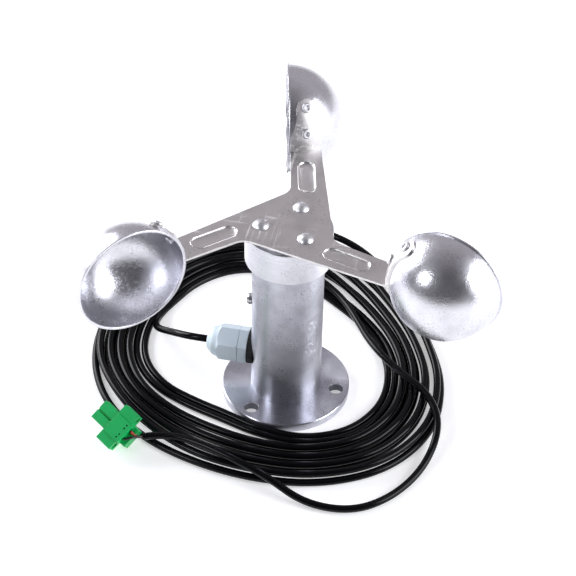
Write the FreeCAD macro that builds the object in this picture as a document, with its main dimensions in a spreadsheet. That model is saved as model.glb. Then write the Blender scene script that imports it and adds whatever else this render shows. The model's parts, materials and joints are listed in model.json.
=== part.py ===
import FreeCAD, Part
import math
import os
import Sketcher
from FreeCAD import Placement, Rotation, Vector

# Cup anemometer: a riveted three-cup rotor on a short tube that stands on a round bolted flange.
# Frame: the origin is the centre of the flange's underside, +Z is the rotor's axis and points up,
# +X passes through one bolt hole, and the cable gland leaves towards -X. Millimetres.

DOC = FreeCAD.newDocument("CupAnemometer")
SHEET = DOC.addObject("Spreadsheet::Sheet", "Sizes")

SIZES = {
    # Flange and tube
    "flange_od": 62.0, "flange_thick": 4.5, "flange_bevel": 0.4,
    "bolt_circle": 50.0, "bolt_hole": 7.0,
    "spigot_wall": 2.5, "spigot_rise": 6.0, "seal_low": 6.2, "seal_section": 1.6,
    "tube_od": 34.0, "tube_id": 29.0, "tube_top": 91.0,
    # Bearing housing and its two 6 x 19 x 6 bearings
    "housing_low": 54.0, "housing_top": 88.0, "housing_web": 14.0,
    "bearing_od": 19.0, "bearing_id": 6.0, "bearing_wide": 6.0,
    "lower_bearing": 60.0, "upper_bearing": 80.0,
    "inner_land": 10.0, "outer_land": 15.0, "ball_circle": 12.5, "ball_dia": 3.5,
    "race_clear": 0.05, "cage_id": 11.2, "cage_od": 13.8, "cage_low": 3.0, "cage_rise": 2.2,
    "shield_id": 10.6, "shield_thick": 0.3, "shield_inset": 0.1,
    "clip_thick": 1.0, "clip_od": 20.2, "clip_id": 16.6, "clip_gap": 6.0,
    # Shaft
    "shaft_low": 45.0, "shaft_top": 99.0, "groove_dia": 5.2, "groove_wide": 0.8,
    "shaft_clip_od": 9.6, "shaft_clip_gap": 3.0,
    # Hub
    "hub_od": 41.0, "hub_low": 84.6, "hub_top": 101.8, "hub_edge": 0.5,
    "hub_recess": 35.4, "recess_top": 92.5, "hub_stem": 9.6, "hub_boss": 36.0, "boss_rise": 1.3,
    # Spider plate: distances along an arm, and behind the line of the cup's rim
    "plate_low": 103.1, "plate_thick": 1.2,
    "arm_reach": 60.0, "arm_front": 1.4, "arm_back": 15.8, "notch_reach": 23.7, "notch_front": 1.0,
    "notch_radius": 7.0,
    "rib_inner": 27.0, "rib_outer": 42.0, "rib_back": 8.9, "rib_wide": 10.4, "rib_depth": 1.2,
    # Cups
    "cup_reach": 80.5, "cup_height": 104.5, "cup_od": 52.2, "cup_wall": 0.8, "cup_lip": 53.6,
    "lip_thick": 0.9, "cup_depth_extra": 0.8,
    # Tab that joins an arm to its cup
    "tab_thick": 1.2, "tab_tilt": 35.0, "tab_root": 15.5, "tab_shoulder": 11.0, "tab_neck": 2.0,
    "tab_lobe": 4.7, "tab_lobe_rise": 5.2,
    # Rivets
    "rivet_circle": 26.0, "rivet_turn": -26.2, "rivet_head": 7.8, "rivet_rise": 2.2,
    "rivet_shank": 4.0, "rivet_deep": 8.0,
    "cup_rivet_head": 5.0, "cup_rivet_rise": 1.2, "cup_rivet_shank": 2.4, "cup_rivet_tail": 4.0,
    "cup_rivet_inner": 20.0, "cup_rivet_outer": 47.0,
    # Lock screw
    "lock_height": 58.3, "lock_turn": 192.0, "lock_dia": 3.0, "lock_tip": 10.6,
    "lock_head": 5.4, "lock_head_rise": 2.3, "lock_slot": 0.8,
    # Speed pick-up inside the tube
    "disc_dia": 17.2, "disc_thick": 1.0, "disc_low": 46.0, "disc_boss": 9.0, "disc_boss_rise": 4.0,
    "disc_slot_wide": 1.2, "disc_slot_reach": 6.2, "grub_dia": 2.0,
    "board_dia": 27.2, "board_low": 36.0, "board_thick": 1.6,
    "post_circle": 22.8, "post_across": 4.4, "screw_dia": 2.0, "screw_head": 3.8, "screw_rise": 1.3,
    "screw_deep": 6.0,
    "eye_inner": 5.2, "eye_outer": 12.8, "eye_wall": 2.4, "eye_wide": 6.0, "eye_slot_low": 44.8,
    "eye_slot_top": 48.4, "eye_top": 51.6,
    "chip_long": 5.0, "chip_wide": 4.0, "chip_tall": 1.5, "can_dia": 5.0, "can_tall": 6.0,
    "header_long": 8.0, "header_wide": 6.0, "header_tall": 3.5, "header_plug": 2.5,
    # Gland, measured outwards from the rotor's axis
    "gland_height": 24.5, "gland_thread": 12.5, "gland_bore": 7.0, "gland_inner": 7.8,
    "gland_collar": 18.4, "gland_neck": 22.8, "gland_end": 38.8, "gland_across": 16.0,
    "gland_neck_dia": 12.0, "gland_neck_end": 29.5, "nut_dome": 33.5, "nut_dome_dia": 15.6,
    "nut_mouth": 6.4, "gland_play": 0.2, "locknut_outer": 11.6, "locknut_across": 15.0,
    "washer_dia": 17.4, "washer_root": 15.2, "seal_inner": 24.0, "seal_outer": 34.5, "seal_dia": 9.0,
    # Cable and its cores
    "cable_dia": 3.6, "core_dia": 1.3, "inner_wire_dia": 0.9, "inner_wire_apart": 1.4,
    "coil_x": -13.4, "coil_y": 21.9, "coil_low_rise": 3.8, "coil_high_rise": 7.7,
    "coil_high_start": 0.06, "coil_high_end": 0.9,
    # Two-pole plug: across its ears, along its wires and down from its top
    "plug_x": -68.6, "plug_y": -58.9, "plug_z": 14.8,
    "plug_yaw": 47.6, "plug_pitch": -34.1, "plug_roll": 23.0,
    "plug_wide": 10.6, "plug_long": 9.0, "plug_tall": 12.5, "plug_ears": 20.6, "ear_long": 8.7,
    "ear_ahead": 5.0, "ear_drop": 0.7, "ear_tall": 7.5, "nose_wide": 10.2, "nose_long": 9.0,
    "nose_drop": 0.8, "nose_tall": 7.4, "nose_groove": 1.2, "entry_wide": 10.2, "entry_long": 2.6,
    "entry_drop": 5.5, "entry_tall": 7.0, "pole_pitch": 5.4, "wire_hole": 2.4, "wire_drop": 3.8,
    "wire_deep": 4.0, "window": 0.8, "window_pitch": 1.9, "window_back": 2.6,
    "plug_screw_head": 3.4, "plug_screw_shank": 2.2, "clamp_wide": 3.4, "clamp_long": 2.4,
    "clamp_tall": 4.6, "clamp_drop": 1.5,
}
THIRD = 120.0           # degrees between arms, bolts, rivets and posts
ROTOR_REST = 102.6      # degrees from +X to the first arm at rest
BALLS = 7
DISC_SLOTS = 12
X_AXIS, Y_AXIS, Z_AXIS = Vector(1, 0, 0), Vector(0, 1, 0), Vector(0, 0, 1)

for row, (alias, value) in enumerate(SIZES.items(), start=1):
    SHEET.set(f"A{row}", alias)
    SHEET.set(f"B{row}", str(value))
    SHEET.setAlias(f"B{row}", alias)
DOC.recompute()

NODES = {}


def size(alias):
    """A driving dimension's value, read from the sheet."""
    return float(SHEET.get(alias))


def node(label, item):
    """Name an object as one sub-part and list it for export."""
    item.Label = label
    NODES[label] = item
    return item


def bind(item, sizes):
    """Bind an object's properties to expressions on the sheet."""
    for name, expression in sizes.items():
        item.setExpression(name, expression)


def spot(x="0", y="0", z="0"):
    """Expressions that put an object's origin at a place."""
    return {"Placement.Base.x": x, "Placement.Base.y": y, "Placement.Base.z": z}


def solid(kind, name, sizes, turn=None):
    """Add a Part primitive with bound sizes, turned about its own origin."""
    item = DOC.addObject(f"Part::{kind}", name)
    if turn is not None:
        item.Placement.Rotation = turn
    bind(item, sizes)
    return item


def rod(name, diameter, length, turn=None, x="0", y="0", z="0"):
    """A cylinder from expressions, along +Z unless it is turned."""
    sizes = {"Radius": f"({diameter}) / 2", "Height": length, **spot(x, y, z)}
    return solid("Cylinder", name, sizes, turn)


def block(name, span_x, span_y, span_z, x, y, z):
    """A box from expressions for its spans and its lowest corner."""
    sizes = {"Length": span_x, "Width": span_y, "Height": span_z, **spot(x, y, z)}
    return solid("Box", name, sizes)


def hexagon(name, across, length, turn=None, x="0", y="0", z="0"):
    """A hexagonal prism from its distance across flats."""
    sizes = {"Circumradius": f"({across}) / 2 / cos(30)", "Height": length, **spot(x, y, z)}
    item = solid("Prism", name, sizes, turn)
    item.Polygon = 6
    return item


def join(name, items):
    """Fuse several objects into one solid."""
    item = DOC.addObject("Part::MultiFuse", name)
    item.Shapes = items
    return item


def cut(name, base, tools):
    """Cut one or more objects out of a base."""
    item = DOC.addObject("Part::Cut", name)
    item.Base = base
    item.Tool = tools[0] if len(tools) == 1 else join(f"{name}_tools", tools)
    return item


def common(name, first, second):
    """Keep what two objects share."""
    item = DOC.addObject("Part::Common", name)
    item.Base = first
    item.Tool = second
    return item


def around(angle, place=None):
    """A placement turned about the rotor's axis by an angle in degrees."""
    turned_place = Placement(Vector(), Rotation(Z_AXIS, angle))
    return turned_place if place is None else turned_place.multiply(place)


def copies(name, source, places):
    """One object with a copy of the source's solid at each placement."""
    DOC.recompute()
    shapes = []
    for place in places:
        shape = source.Shape.copy()
        shape.Placement = place.multiply(shape.Placement)
        shapes.append(shape)
    item = DOC.addObject("Part::Feature", name)
    item.Shape = Part.makeCompound(shapes)
    return item


def fixed_shape(name, shape):
    """A Part::Feature for a shape that Part's own functions build."""
    item = DOC.addObject("Part::Feature", name)
    item.Shape = shape
    return item


def origin_feature(body, role):
    """One of a body's own origin planes or axes."""
    return next(item for item in body.Origin.OriginFeatures if item.Role == role)


def outline(sketch, corners):
    """Draw a closed outline whose corners are pairs of bound expressions."""
    count = len(corners)
    start = []
    for index in range(count):
        angle = math.tau * index / count
        start.append(Vector(20 + 10 * math.cos(angle), 20 + 10 * math.sin(angle), 0))
    for index in range(count):
        sketch.addGeometry(Part.LineSegment(start[index], start[(index + 1) % count]), False)
    for index in range(count):
        following = (index + 1) % count
        sketch.addConstraint(Sketcher.Constraint("Coincident", index, 2, following, 1))
    for index, corner in enumerate(corners):
        for kind, axis, across, value in (("DistanceX", corner[0], -2, start[index].x),
                                          ("DistanceY", corner[1], -1, start[index].y)):
            if axis == "0":
                sketch.addConstraint(Sketcher.Constraint("PointOnObject", index, 1, across))
                continue
            number = sketch.addConstraint(Sketcher.Constraint(kind, -1, 1, index, 1, value))
            sketch.setExpression(f"Constraints[{number}]", axis)


def new_sketch(body, role, name):
    """A sketch on one of the body's own origin planes."""
    sketch = body.newObject("Sketcher::SketchObject", name)
    sketch.AttachmentSupport = [(origin_feature(body, role), "")]
    sketch.MapMode = "FlatFace"
    return sketch


def turned(name, profile, turn=None, x="0", y="0", z="0"):
    """A body of revolution: the profile's corners are (radius, height) expressions."""
    body = DOC.addObject("PartDesign::Body", name)
    sketch = new_sketch(body, "XZ_Plane", f"{name}_profile")
    outline(sketch, profile)
    spin = body.newObject("PartDesign::Revolution", f"{name}_spin")
    spin.Profile = sketch
    spin.ReferenceAxis = (sketch, ["V_Axis"])
    spin.Angle = 360
    sketch.Visibility = False
    body.Tip = spin
    if turn is not None:
        body.Placement.Rotation = turn
    bind(body, spot(x, y, z))
    return body


def padded(name, corners, role, length):
    """A body padded from one outline on an origin plane."""
    body = DOC.addObject("PartDesign::Body", name)
    sketch = new_sketch(body, role, f"{name}_outline")
    outline(sketch, corners)
    pad = body.newObject("PartDesign::Pad", f"{name}_pad")
    pad.Profile = sketch
    pad.setExpression("Length", length)
    sketch.Visibility = False
    body.Tip = pad
    return body


def ring(name, outer, inner, height, z="0"):
    """A plain ring between two diameters."""
    outer_radius = f"({outer}) / 2"
    inner_radius = f"({inner}) / 2"
    profile = [(inner_radius, "0"), (outer_radius, "0"), (outer_radius, height), (inner_radius, height)]
    return turned(name, profile, z=z)


# Fixed base -------------------------------------------------------------------------------------

def make_flange():
    """Round base flange with three bolt holes and a spigot that the tube is pressed over."""
    bevel = "Sizes.flange_bevel"
    rim = "Sizes.flange_od / 2"
    top = "Sizes.flange_thick"
    bore = "Sizes.tube_id / 2"
    crown = f"{top} + Sizes.spigot_rise"
    profile = [
        ("0", "0"), (f"{rim} - {bevel}", "0"), (rim, bevel), (rim, f"{top} - {bevel}"),
        (f"{rim} - {bevel}", top), (bore, top), (bore, "Sizes.seal_low"),
        (f"{bore} - Sizes.seal_section", "Sizes.seal_low"),
        (f"{bore} - Sizes.seal_section", "Sizes.seal_low + Sizes.seal_section"),
        (bore, "Sizes.seal_low + Sizes.seal_section"), (bore, crown),
        (f"{bore} - Sizes.spigot_wall", crown), (f"{bore} - Sizes.spigot_wall", top), ("0", top),
    ]
    body = turned("flange_blank", profile)
    sketch = new_sketch(body, "XY_Plane", "bolt_hole_sketch")
    sketch.addGeometry(Part.Circle(Vector(20, 0, 0), Z_AXIS, 3), False)
    sketch.addConstraint(Sketcher.Constraint("PointOnObject", 0, 3, -1))
    reach = sketch.addConstraint(Sketcher.Constraint("DistanceX", -1, 1, 0, 3, 20))
    sketch.setExpression(f"Constraints[{reach}]", "Sizes.bolt_circle / 2")
    wide = sketch.addConstraint(Sketcher.Constraint("Diameter", 0, 6))
    sketch.setExpression(f"Constraints[{wide}]", "Sizes.bolt_hole")
    pocket = body.newObject("PartDesign::Pocket", "bolt_hole_pocket")
    pocket.Profile = sketch
    pocket.Type = "ThroughAll"
    pocket.Midplane = True
    pattern = body.newObject("PartDesign::PolarPattern", "bolt_holes")
    pattern.Originals = [pocket]
    pattern.Axis = (origin_feature(body, "Z_Axis"), [""])
    pattern.Angle = 360
    pattern.Occurrences = 3
    sketch.Visibility = False
    body.Tip = pattern
    node("base_flange", body)
    seal = solid("Torus", "seal_ring", {
        "Radius1": "(Sizes.tube_id - Sizes.seal_section) / 2", "Radius2": "Sizes.seal_section / 2",
        **spot(z="Sizes.seal_low + Sizes.seal_section / 2")})
    node("base_seal", seal)


def lock_bore(name, inner):
    """The lock screw's hole, as a tool from an inner radius outwards."""
    turn = Rotation(Z_AXIS, size("lock_turn")).multiply(Rotation(Y_AXIS, 90))
    angle = size("lock_turn")
    return rod(name, "Sizes.lock_dia", "Sizes.tube_od / 2", turn,
               x=f"({inner}) * cos({angle})", y=f"({inner}) * sin({angle})", z="Sizes.lock_height")


def make_tube():
    """Turned tube with a hole for the gland and one for the lock screw."""
    tube = ring("tube_blank", "Sizes.tube_od", "Sizes.tube_id", "Sizes.tube_top - Sizes.flange_thick",
                z="Sizes.flange_thick")
    gland_hole = rod("gland_hole", "Sizes.gland_thread", "Sizes.tube_od", Rotation(Y_AXIS, -90),
                     z="Sizes.gland_height")
    node("body_tube", cut("tube_cut", tube, [gland_hole, lock_bore("tube_lock_hole", "Sizes.lock_tip")]))


def make_lock_screw():
    """Pan-head screw through the tube's wall into the bearing housing."""
    shank = rod("lock_shank", "Sizes.lock_dia", "Sizes.tube_od / 2 - Sizes.lock_tip", z="Sizes.lock_tip")
    head_radius = "Sizes.lock_head / 2"
    rise = "Sizes.lock_head_rise"
    head = turned("lock_head_blank", [
        ("0", "0"), (head_radius, "0"), (head_radius, f"{rise} * 0.55"),
        (f"{head_radius} * 0.72", rise), ("0", rise)], z="Sizes.tube_od / 2")
    slots = []
    for name, turn in (("lock_slot_a", 0), ("lock_slot_b", 90)):
        slot = block(name, "Sizes.lock_head * 0.6", "Sizes.lock_slot", rise, "0", "0", "0")
        slot.Placement.Rotation = Rotation(Z_AXIS, turn)
        angle = math.radians(turn)
        half_long = 0.3 * size("lock_head")
        half_wide = size("lock_slot") / 2
        along, across = math.cos(angle), math.sin(angle)
        slot.setExpression("Placement.Base.x", f"{-half_long * along + half_wide * across}")
        slot.setExpression("Placement.Base.y", f"{-half_long * across - half_wide * along}")
        slot.setExpression("Placement.Base.z", f"Sizes.tube_od / 2 + {rise} * 0.45")
        slots.append(slot)
    screw = cut("lock_screw_cut", join("lock_screw_join", [shank, head]), slots)
    outward = Rotation(Z_AXIS, size("lock_turn")).multiply(Rotation(Y_AXIS, 90))
    screw.Placement = Placement(Vector(0, 0, size("lock_height")), outward)
    node("lock_screw", screw)


def make_housing():
    """Bearing housing, its snap rings, and the posts that carry the circuit board."""
    skin, seat, web = "Sizes.tube_id / 2", "Sizes.bearing_od / 2", "Sizes.housing_web / 2"
    groove = "Sizes.clip_od / 2"
    low, top = "Sizes.housing_low", "Sizes.housing_top"
    lower_end = "Sizes.lower_bearing + Sizes.bearing_wide"
    lower_clip = "Sizes.lower_bearing - Sizes.clip_thick"
    upper_clip = "Sizes.upper_bearing + Sizes.bearing_wide"
    profile = [
        (seat, low), (skin, low), (skin, top), (seat, top),
        (seat, f"{upper_clip} + Sizes.clip_thick"), (groove, f"{upper_clip} + Sizes.clip_thick"),
        (groove, upper_clip), (seat, upper_clip), (seat, "Sizes.upper_bearing"), (web, "Sizes.upper_bearing"),
        (web, lower_end), (seat, lower_end), (seat, "Sizes.lower_bearing"), (groove, "Sizes.lower_bearing"),
        (groove, lower_clip), (seat, lower_clip),
    ]
    blank = turned("housing_blank", profile)
    studs = copies("stud_holes", rod("stud_hole", "Sizes.screw_dia", "3", x="Sizes.post_circle / 2", z=low),
                   [around(60 + THIRD * turn) for turn in range(3)])
    lock_hole = lock_bore("housing_lock_hole", "Sizes.lock_tip")
    node("bearing_housing", cut("housing_cut", blank, [lock_hole, studs]))

    for label, base in (("lower_snap_ring", lower_clip), ("upper_snap_ring", upper_clip)):
        full = ring(f"{label}_full", "Sizes.clip_od", "Sizes.clip_id", "Sizes.clip_thick", z=base)
        gap = block(f"{label}_gap", "Sizes.clip_od", "Sizes.clip_gap", "Sizes.clip_thick",
                    "0", "-Sizes.clip_gap / 2", base)
        node(label, cut(f"{label}_cut", full, [gap]))

    board_top = "Sizes.board_low + Sizes.board_thick"
    post = hexagon("post_blank", "Sizes.post_across", f"{low} - ({board_top})", x="Sizes.post_circle / 2",
                   z=board_top)
    bore = rod("post_bore", "Sizes.screw_dia", "Sizes.screw_deep - Sizes.board_thick",
               x="Sizes.post_circle / 2", z=board_top)
    stud = rod("post_stud", "Sizes.screw_dia", "3", x="Sizes.post_circle / 2", z=low)
    whole = join("post_whole", [cut("post_cut", post, [bore]), stud])
    places = [around(60 + THIRD * turn) for turn in range(3)]
    node("board_posts", copies("posts", whole, places))
    shank = rod("board_shank", "Sizes.screw_dia", "Sizes.screw_deep", x="Sizes.post_circle / 2",
                z="Sizes.board_low")
    head = rod("board_head", "Sizes.screw_head", "Sizes.screw_rise", x="Sizes.post_circle / 2",
               z="Sizes.board_low - Sizes.screw_rise")
    node("board_screws", copies("screws", join("board_screw", [shank, head]), places))


def make_bearing(name, base, body_places):
    """A ball bearing: rings, shields, balls and cage, each its own node."""
    race = {"Radius1": "Sizes.ball_circle / 2", "Radius2": "Sizes.ball_dia / 2 + Sizes.race_clear",
            **spot(z=f"{base} + Sizes.bearing_wide / 2")}
    outer = ring(f"{name}_outer_blank", "Sizes.bearing_od", "Sizes.outer_land", "Sizes.bearing_wide", z=base)
    node(f"{name}_outer_ring", cut(f"{name}_outer_cut", outer, [solid("Torus", f"{name}_outer_race", race)]))
    inner = ring(f"{name}_inner_blank", "Sizes.inner_land", "Sizes.bearing_id", "Sizes.bearing_wide", z=base)
    node(f"{name}_inner_ring", cut(f"{name}_inner_cut", inner, [solid("Torus", f"{name}_inner_race", race)]))

    shield = ring(f"{name}_shield", "Sizes.outer_land", "Sizes.shield_id", "Sizes.shield_thick",
                  z=f"{base} + Sizes.shield_inset")
    rise = size("bearing_wide") - 2 * size("shield_inset") - size("shield_thick")
    node(f"{name}_shields", copies(f"{name}_shield_pair", shield,
                                   [Placement(), Placement(Vector(0, 0, rise), Rotation())]))

    middle = f"{base} + Sizes.bearing_wide / 2"
    ball = solid("Sphere", f"{name}_ball", {"Radius": "Sizes.ball_dia / 2",
                                            **spot(x="Sizes.ball_circle / 2", z=middle)})
    node(f"{name}_balls", copies(f"{name}_ball_set", ball, body_places))
    room = solid("Sphere", f"{name}_ball_room", {"Radius": "Sizes.ball_dia / 2 + Sizes.race_clear",
                                                 **spot(x="Sizes.ball_circle / 2", z=middle)})
    crown = ring(f"{name}_crown", "Sizes.cage_od", "Sizes.cage_id", "Sizes.cage_rise",
                 z=f"{base} + Sizes.cage_low")
    node(f"{name}_cage", cut(f"{name}_cage_cut", crown, [copies(f"{name}_rooms", room, body_places)]))


def make_bearings():
    """Upper and lower bearing, and the spacer between their inner rings."""
    places = [around(360 / BALLS * turn) for turn in range(BALLS)]
    make_bearing("lower", "Sizes.lower_bearing", places)
    make_bearing("upper", "Sizes.upper_bearing", places)
    gap = "Sizes.upper_bearing - Sizes.lower_bearing - Sizes.bearing_wide"
    node("bearing_spacer", ring("spacer_ring", "Sizes.hub_stem", "Sizes.bearing_id", gap,
                                z="Sizes.lower_bearing + Sizes.bearing_wide"))


# Speed pick-up ----------------------------------------------------------------------------------

def make_board():
    """Circuit board under the bearings, with its light gate, chips, capacitor and wire socket."""
    low = "Sizes.board_low"
    top = "Sizes.board_low + Sizes.board_thick"
    holes = copies("board_holes", rod("board_hole", "Sizes.screw_dia", "Sizes.board_thick",
                                      x="Sizes.post_circle / 2", z=low),
                   [around(60 + THIRD * turn) for turn in range(3)])
    node("circuit_board", cut("board_cut", rod("board_disc", "Sizes.board_dia", "Sizes.board_thick", z=low),
                              [holes]))
    span = "Sizes.eye_outer - Sizes.eye_inner"
    half = "-Sizes.eye_wide / 2"
    gate = block("eye_block", span, "Sizes.eye_wide", f"Sizes.eye_top - ({top})", "Sizes.eye_inner", half,
                 top)
    mouth = block("eye_mouth", f"{span} - Sizes.eye_wall", "Sizes.eye_wide",
                  "Sizes.eye_slot_top - Sizes.eye_slot_low", "Sizes.eye_inner", half, "Sizes.eye_slot_low")
    node("light_gate", cut("eye_cut", gate, [mouth]))

    chips = []
    for name, x, y in (("chip_a", "-9", "3"), ("chip_b", "-9", "-7"), ("chip_c", "-2.5", "-10")):
        chips.append(block(name, "Sizes.chip_long", "Sizes.chip_wide", "Sizes.chip_tall", x, y, top))
    DOC.recompute()
    node("board_chips", fixed_shape("chips", Part.makeCompound([chip.Shape for chip in chips])))
    node("board_capacitor", rod("capacitor_can", "Sizes.can_dia", "Sizes.can_tall", x="-2", y="8.5", z=top))
    socket_low = f"{low} - Sizes.header_tall"
    node("wire_socket", block("socket_block", "Sizes.header_long", "Sizes.header_wide", "Sizes.header_tall",
                              "-Sizes.header_long / 2", "-Sizes.header_wide / 2", socket_low))
    node("wire_socket_plug", block("socket_plug", "Sizes.header_long", "Sizes.header_wide",
                                   "Sizes.header_plug", "-Sizes.header_long / 2",
                                   "-Sizes.header_wide / 2", f"{socket_low} - Sizes.header_plug"))


def make_slotted_disc():
    """Slotted disc on the shaft's lower end, with the grub screw in its boss."""
    shaft, boss, rim = "Sizes.bearing_id / 2", "Sizes.disc_boss / 2", "Sizes.disc_dia / 2"
    crown = "Sizes.disc_thick + Sizes.disc_boss_rise"
    blank = turned("disc_blank", [(shaft, "0"), (rim, "0"), (rim, "Sizes.disc_thick"),
                                  (boss, "Sizes.disc_thick"), (boss, crown), (shaft, crown)],
                   z="Sizes.disc_low")
    slot = block("disc_slot", "Sizes.disc_dia / 2 - Sizes.disc_slot_reach", "Sizes.disc_slot_wide",
                 "Sizes.disc_thick", "Sizes.disc_slot_reach", "-Sizes.disc_slot_wide / 2", "Sizes.disc_low")
    slots = copies("disc_slots", slot, [around(360 / DISC_SLOTS * turn) for turn in range(DISC_SLOTS)])
    middle = "Sizes.disc_low + Sizes.disc_thick + Sizes.disc_boss_rise / 2"
    sideways = Rotation(Y_AXIS, 90)
    wall = "(Sizes.disc_boss - Sizes.bearing_id) / 2"
    hole = rod("grub_hole", "Sizes.grub_dia", wall, sideways, x="Sizes.bearing_id / 2", z=middle)
    node("slotted_disc", cut("disc_cut", blank, [slots, hole]))
    node("disc_grub_screw", common("grub_common",
                                   rod("grub_rod", "Sizes.grub_dia", wall, sideways,
                                       x="Sizes.bearing_id / 2", z=middle),
                                   ring("grub_shell", "Sizes.disc_boss", "Sizes.bearing_id",
                                        "Sizes.disc_boss_rise", z="Sizes.disc_low + Sizes.disc_thick")))


# Rotor ------------------------------------------------------------------------------------------

def make_shaft():
    """Steel shaft, pressed into the hub, with its snap ring under the lower bearing."""
    radius, groove = "Sizes.bearing_id / 2", "Sizes.groove_dia / 2"
    low = "Sizes.lower_bearing - Sizes.groove_wide"
    node("rotor_shaft", turned("shaft_body", [
        ("0", "Sizes.shaft_low"), (f"{radius} - 0.4", "Sizes.shaft_low"), (radius, "Sizes.shaft_low + 0.4"),
        (radius, low), (groove, low), (groove, "Sizes.lower_bearing"), (radius, "Sizes.lower_bearing"),
        (radius, "Sizes.shaft_top"), ("0", "Sizes.shaft_top")]))
    full = ring("shaft_clip_full", "Sizes.shaft_clip_od", "Sizes.groove_dia", "Sizes.groove_wide", z=low)
    gap = block("shaft_clip_gap_tool", "Sizes.shaft_clip_od", "Sizes.shaft_clip_gap", "Sizes.groove_wide",
                "0", "-Sizes.shaft_clip_gap / 2", low)
    node("shaft_snap_ring", cut("shaft_clip_cut", full, [gap]))


def rivet_places():
    """Where the hub rivets stand: one beside each arm's root."""
    return [around(ROTOR_REST + THIRD * arm + size("rivet_turn")) for arm in range(3)]


def make_hub():
    """Turned hub: a skirt over the tube's top, a stem to the bearing and a boss under the spider."""
    rim, edge = "Sizes.hub_od / 2", "Sizes.hub_edge"
    profile = [
        ("Sizes.hub_recess / 2", "Sizes.hub_low"), (f"{rim} - {edge}", "Sizes.hub_low"),
        (rim, f"Sizes.hub_low + {edge}"), (rim, f"Sizes.hub_top - {edge}"),
        (f"{rim} - {edge}", "Sizes.hub_top"), ("Sizes.hub_boss / 2", "Sizes.hub_top"),
        ("Sizes.hub_boss / 2", "Sizes.hub_top + Sizes.boss_rise"), ("0", "Sizes.hub_top + Sizes.boss_rise"),
        ("0", "Sizes.shaft_top"), ("Sizes.bearing_id / 2", "Sizes.shaft_top"),
        ("Sizes.bearing_id / 2", "Sizes.upper_bearing + Sizes.bearing_wide"),
        ("Sizes.hub_stem / 2", "Sizes.upper_bearing + Sizes.bearing_wide"),
        ("Sizes.hub_stem / 2", "Sizes.recess_top"), ("Sizes.hub_recess / 2", "Sizes.recess_top"),
    ]
    bore = rod("hub_rivet_bore", "Sizes.rivet_shank", "Sizes.rivet_deep", x="Sizes.rivet_circle / 2",
               z="Sizes.plate_low - Sizes.rivet_deep")
    node("rotor_hub", cut("hub_cut", turned("hub_blank", profile),
                          [copies("hub_rivet_bores", bore, rivet_places())]))


def domed_rivet(name, head, rise, shank, deep, tail=None, tail_rise="0.8"):
    """A rivet along +Z with its head's flat side at height 0 and, if asked, an upset tail."""
    ball = f"(({rise}) ^ 2 + ({head}) ^ 2 / 4) / (2 * ({rise}))"
    cap = solid("Sphere", f"{name}_cap", {"Radius": ball, "Angle1": f"asin((({ball}) - ({rise})) / ({ball}))",
                                          **spot(z=f"({rise}) - ({ball})")})
    cap.Angle2 = 90
    pieces = [cap, rod(f"{name}_shank", shank, deep, z=f"-({deep})")]
    if tail is not None:
        pieces.append(rod(f"{name}_tail", tail, tail_rise, z=f"-({deep})"))
    return join(name, pieces)


def make_hub_rivets():
    """Three dome-head rivets through the spider into the hub."""
    rivet = domed_rivet("hub_rivet", "Sizes.rivet_head", "Sizes.rivet_rise", "Sizes.rivet_shank",
                        "Sizes.rivet_deep + Sizes.plate_thick")
    top = size("plate_low") + size("plate_thick")
    lifted = Placement(Vector(size("rivet_circle") / 2, 0, top), Rotation())
    node("hub_rivets", copies("hub_rivet_set", rivet, [place.multiply(lifted) for place in rivet_places()]))


def cup_centre():
    """The cup's centre of curvature in an arm's own frame, where the arm lies along +X."""
    return Vector(size("cup_reach"), -size("cup_depth_extra"), size("cup_height"))


def cup_rivet_frames():
    """Placements of a cup's two rivets in an arm's own frame, each pointing out of the cup."""
    skin = size("cup_od") / 2 + size("tab_thick")
    sideways = (size("rib_back") - size("cup_depth_extra")) / skin
    ahead = math.sqrt(1 - sideways ** 2)
    frames = []
    for alias in ("cup_rivet_inner", "cup_rivet_outer"):
        lift = math.radians(size(alias))
        out = Vector(-ahead * math.cos(lift), -sideways, ahead * math.sin(lift))
        frames.append(Placement(cup_centre() + out * skin, Rotation(Z_AXIS, out)))
    return frames


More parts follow.
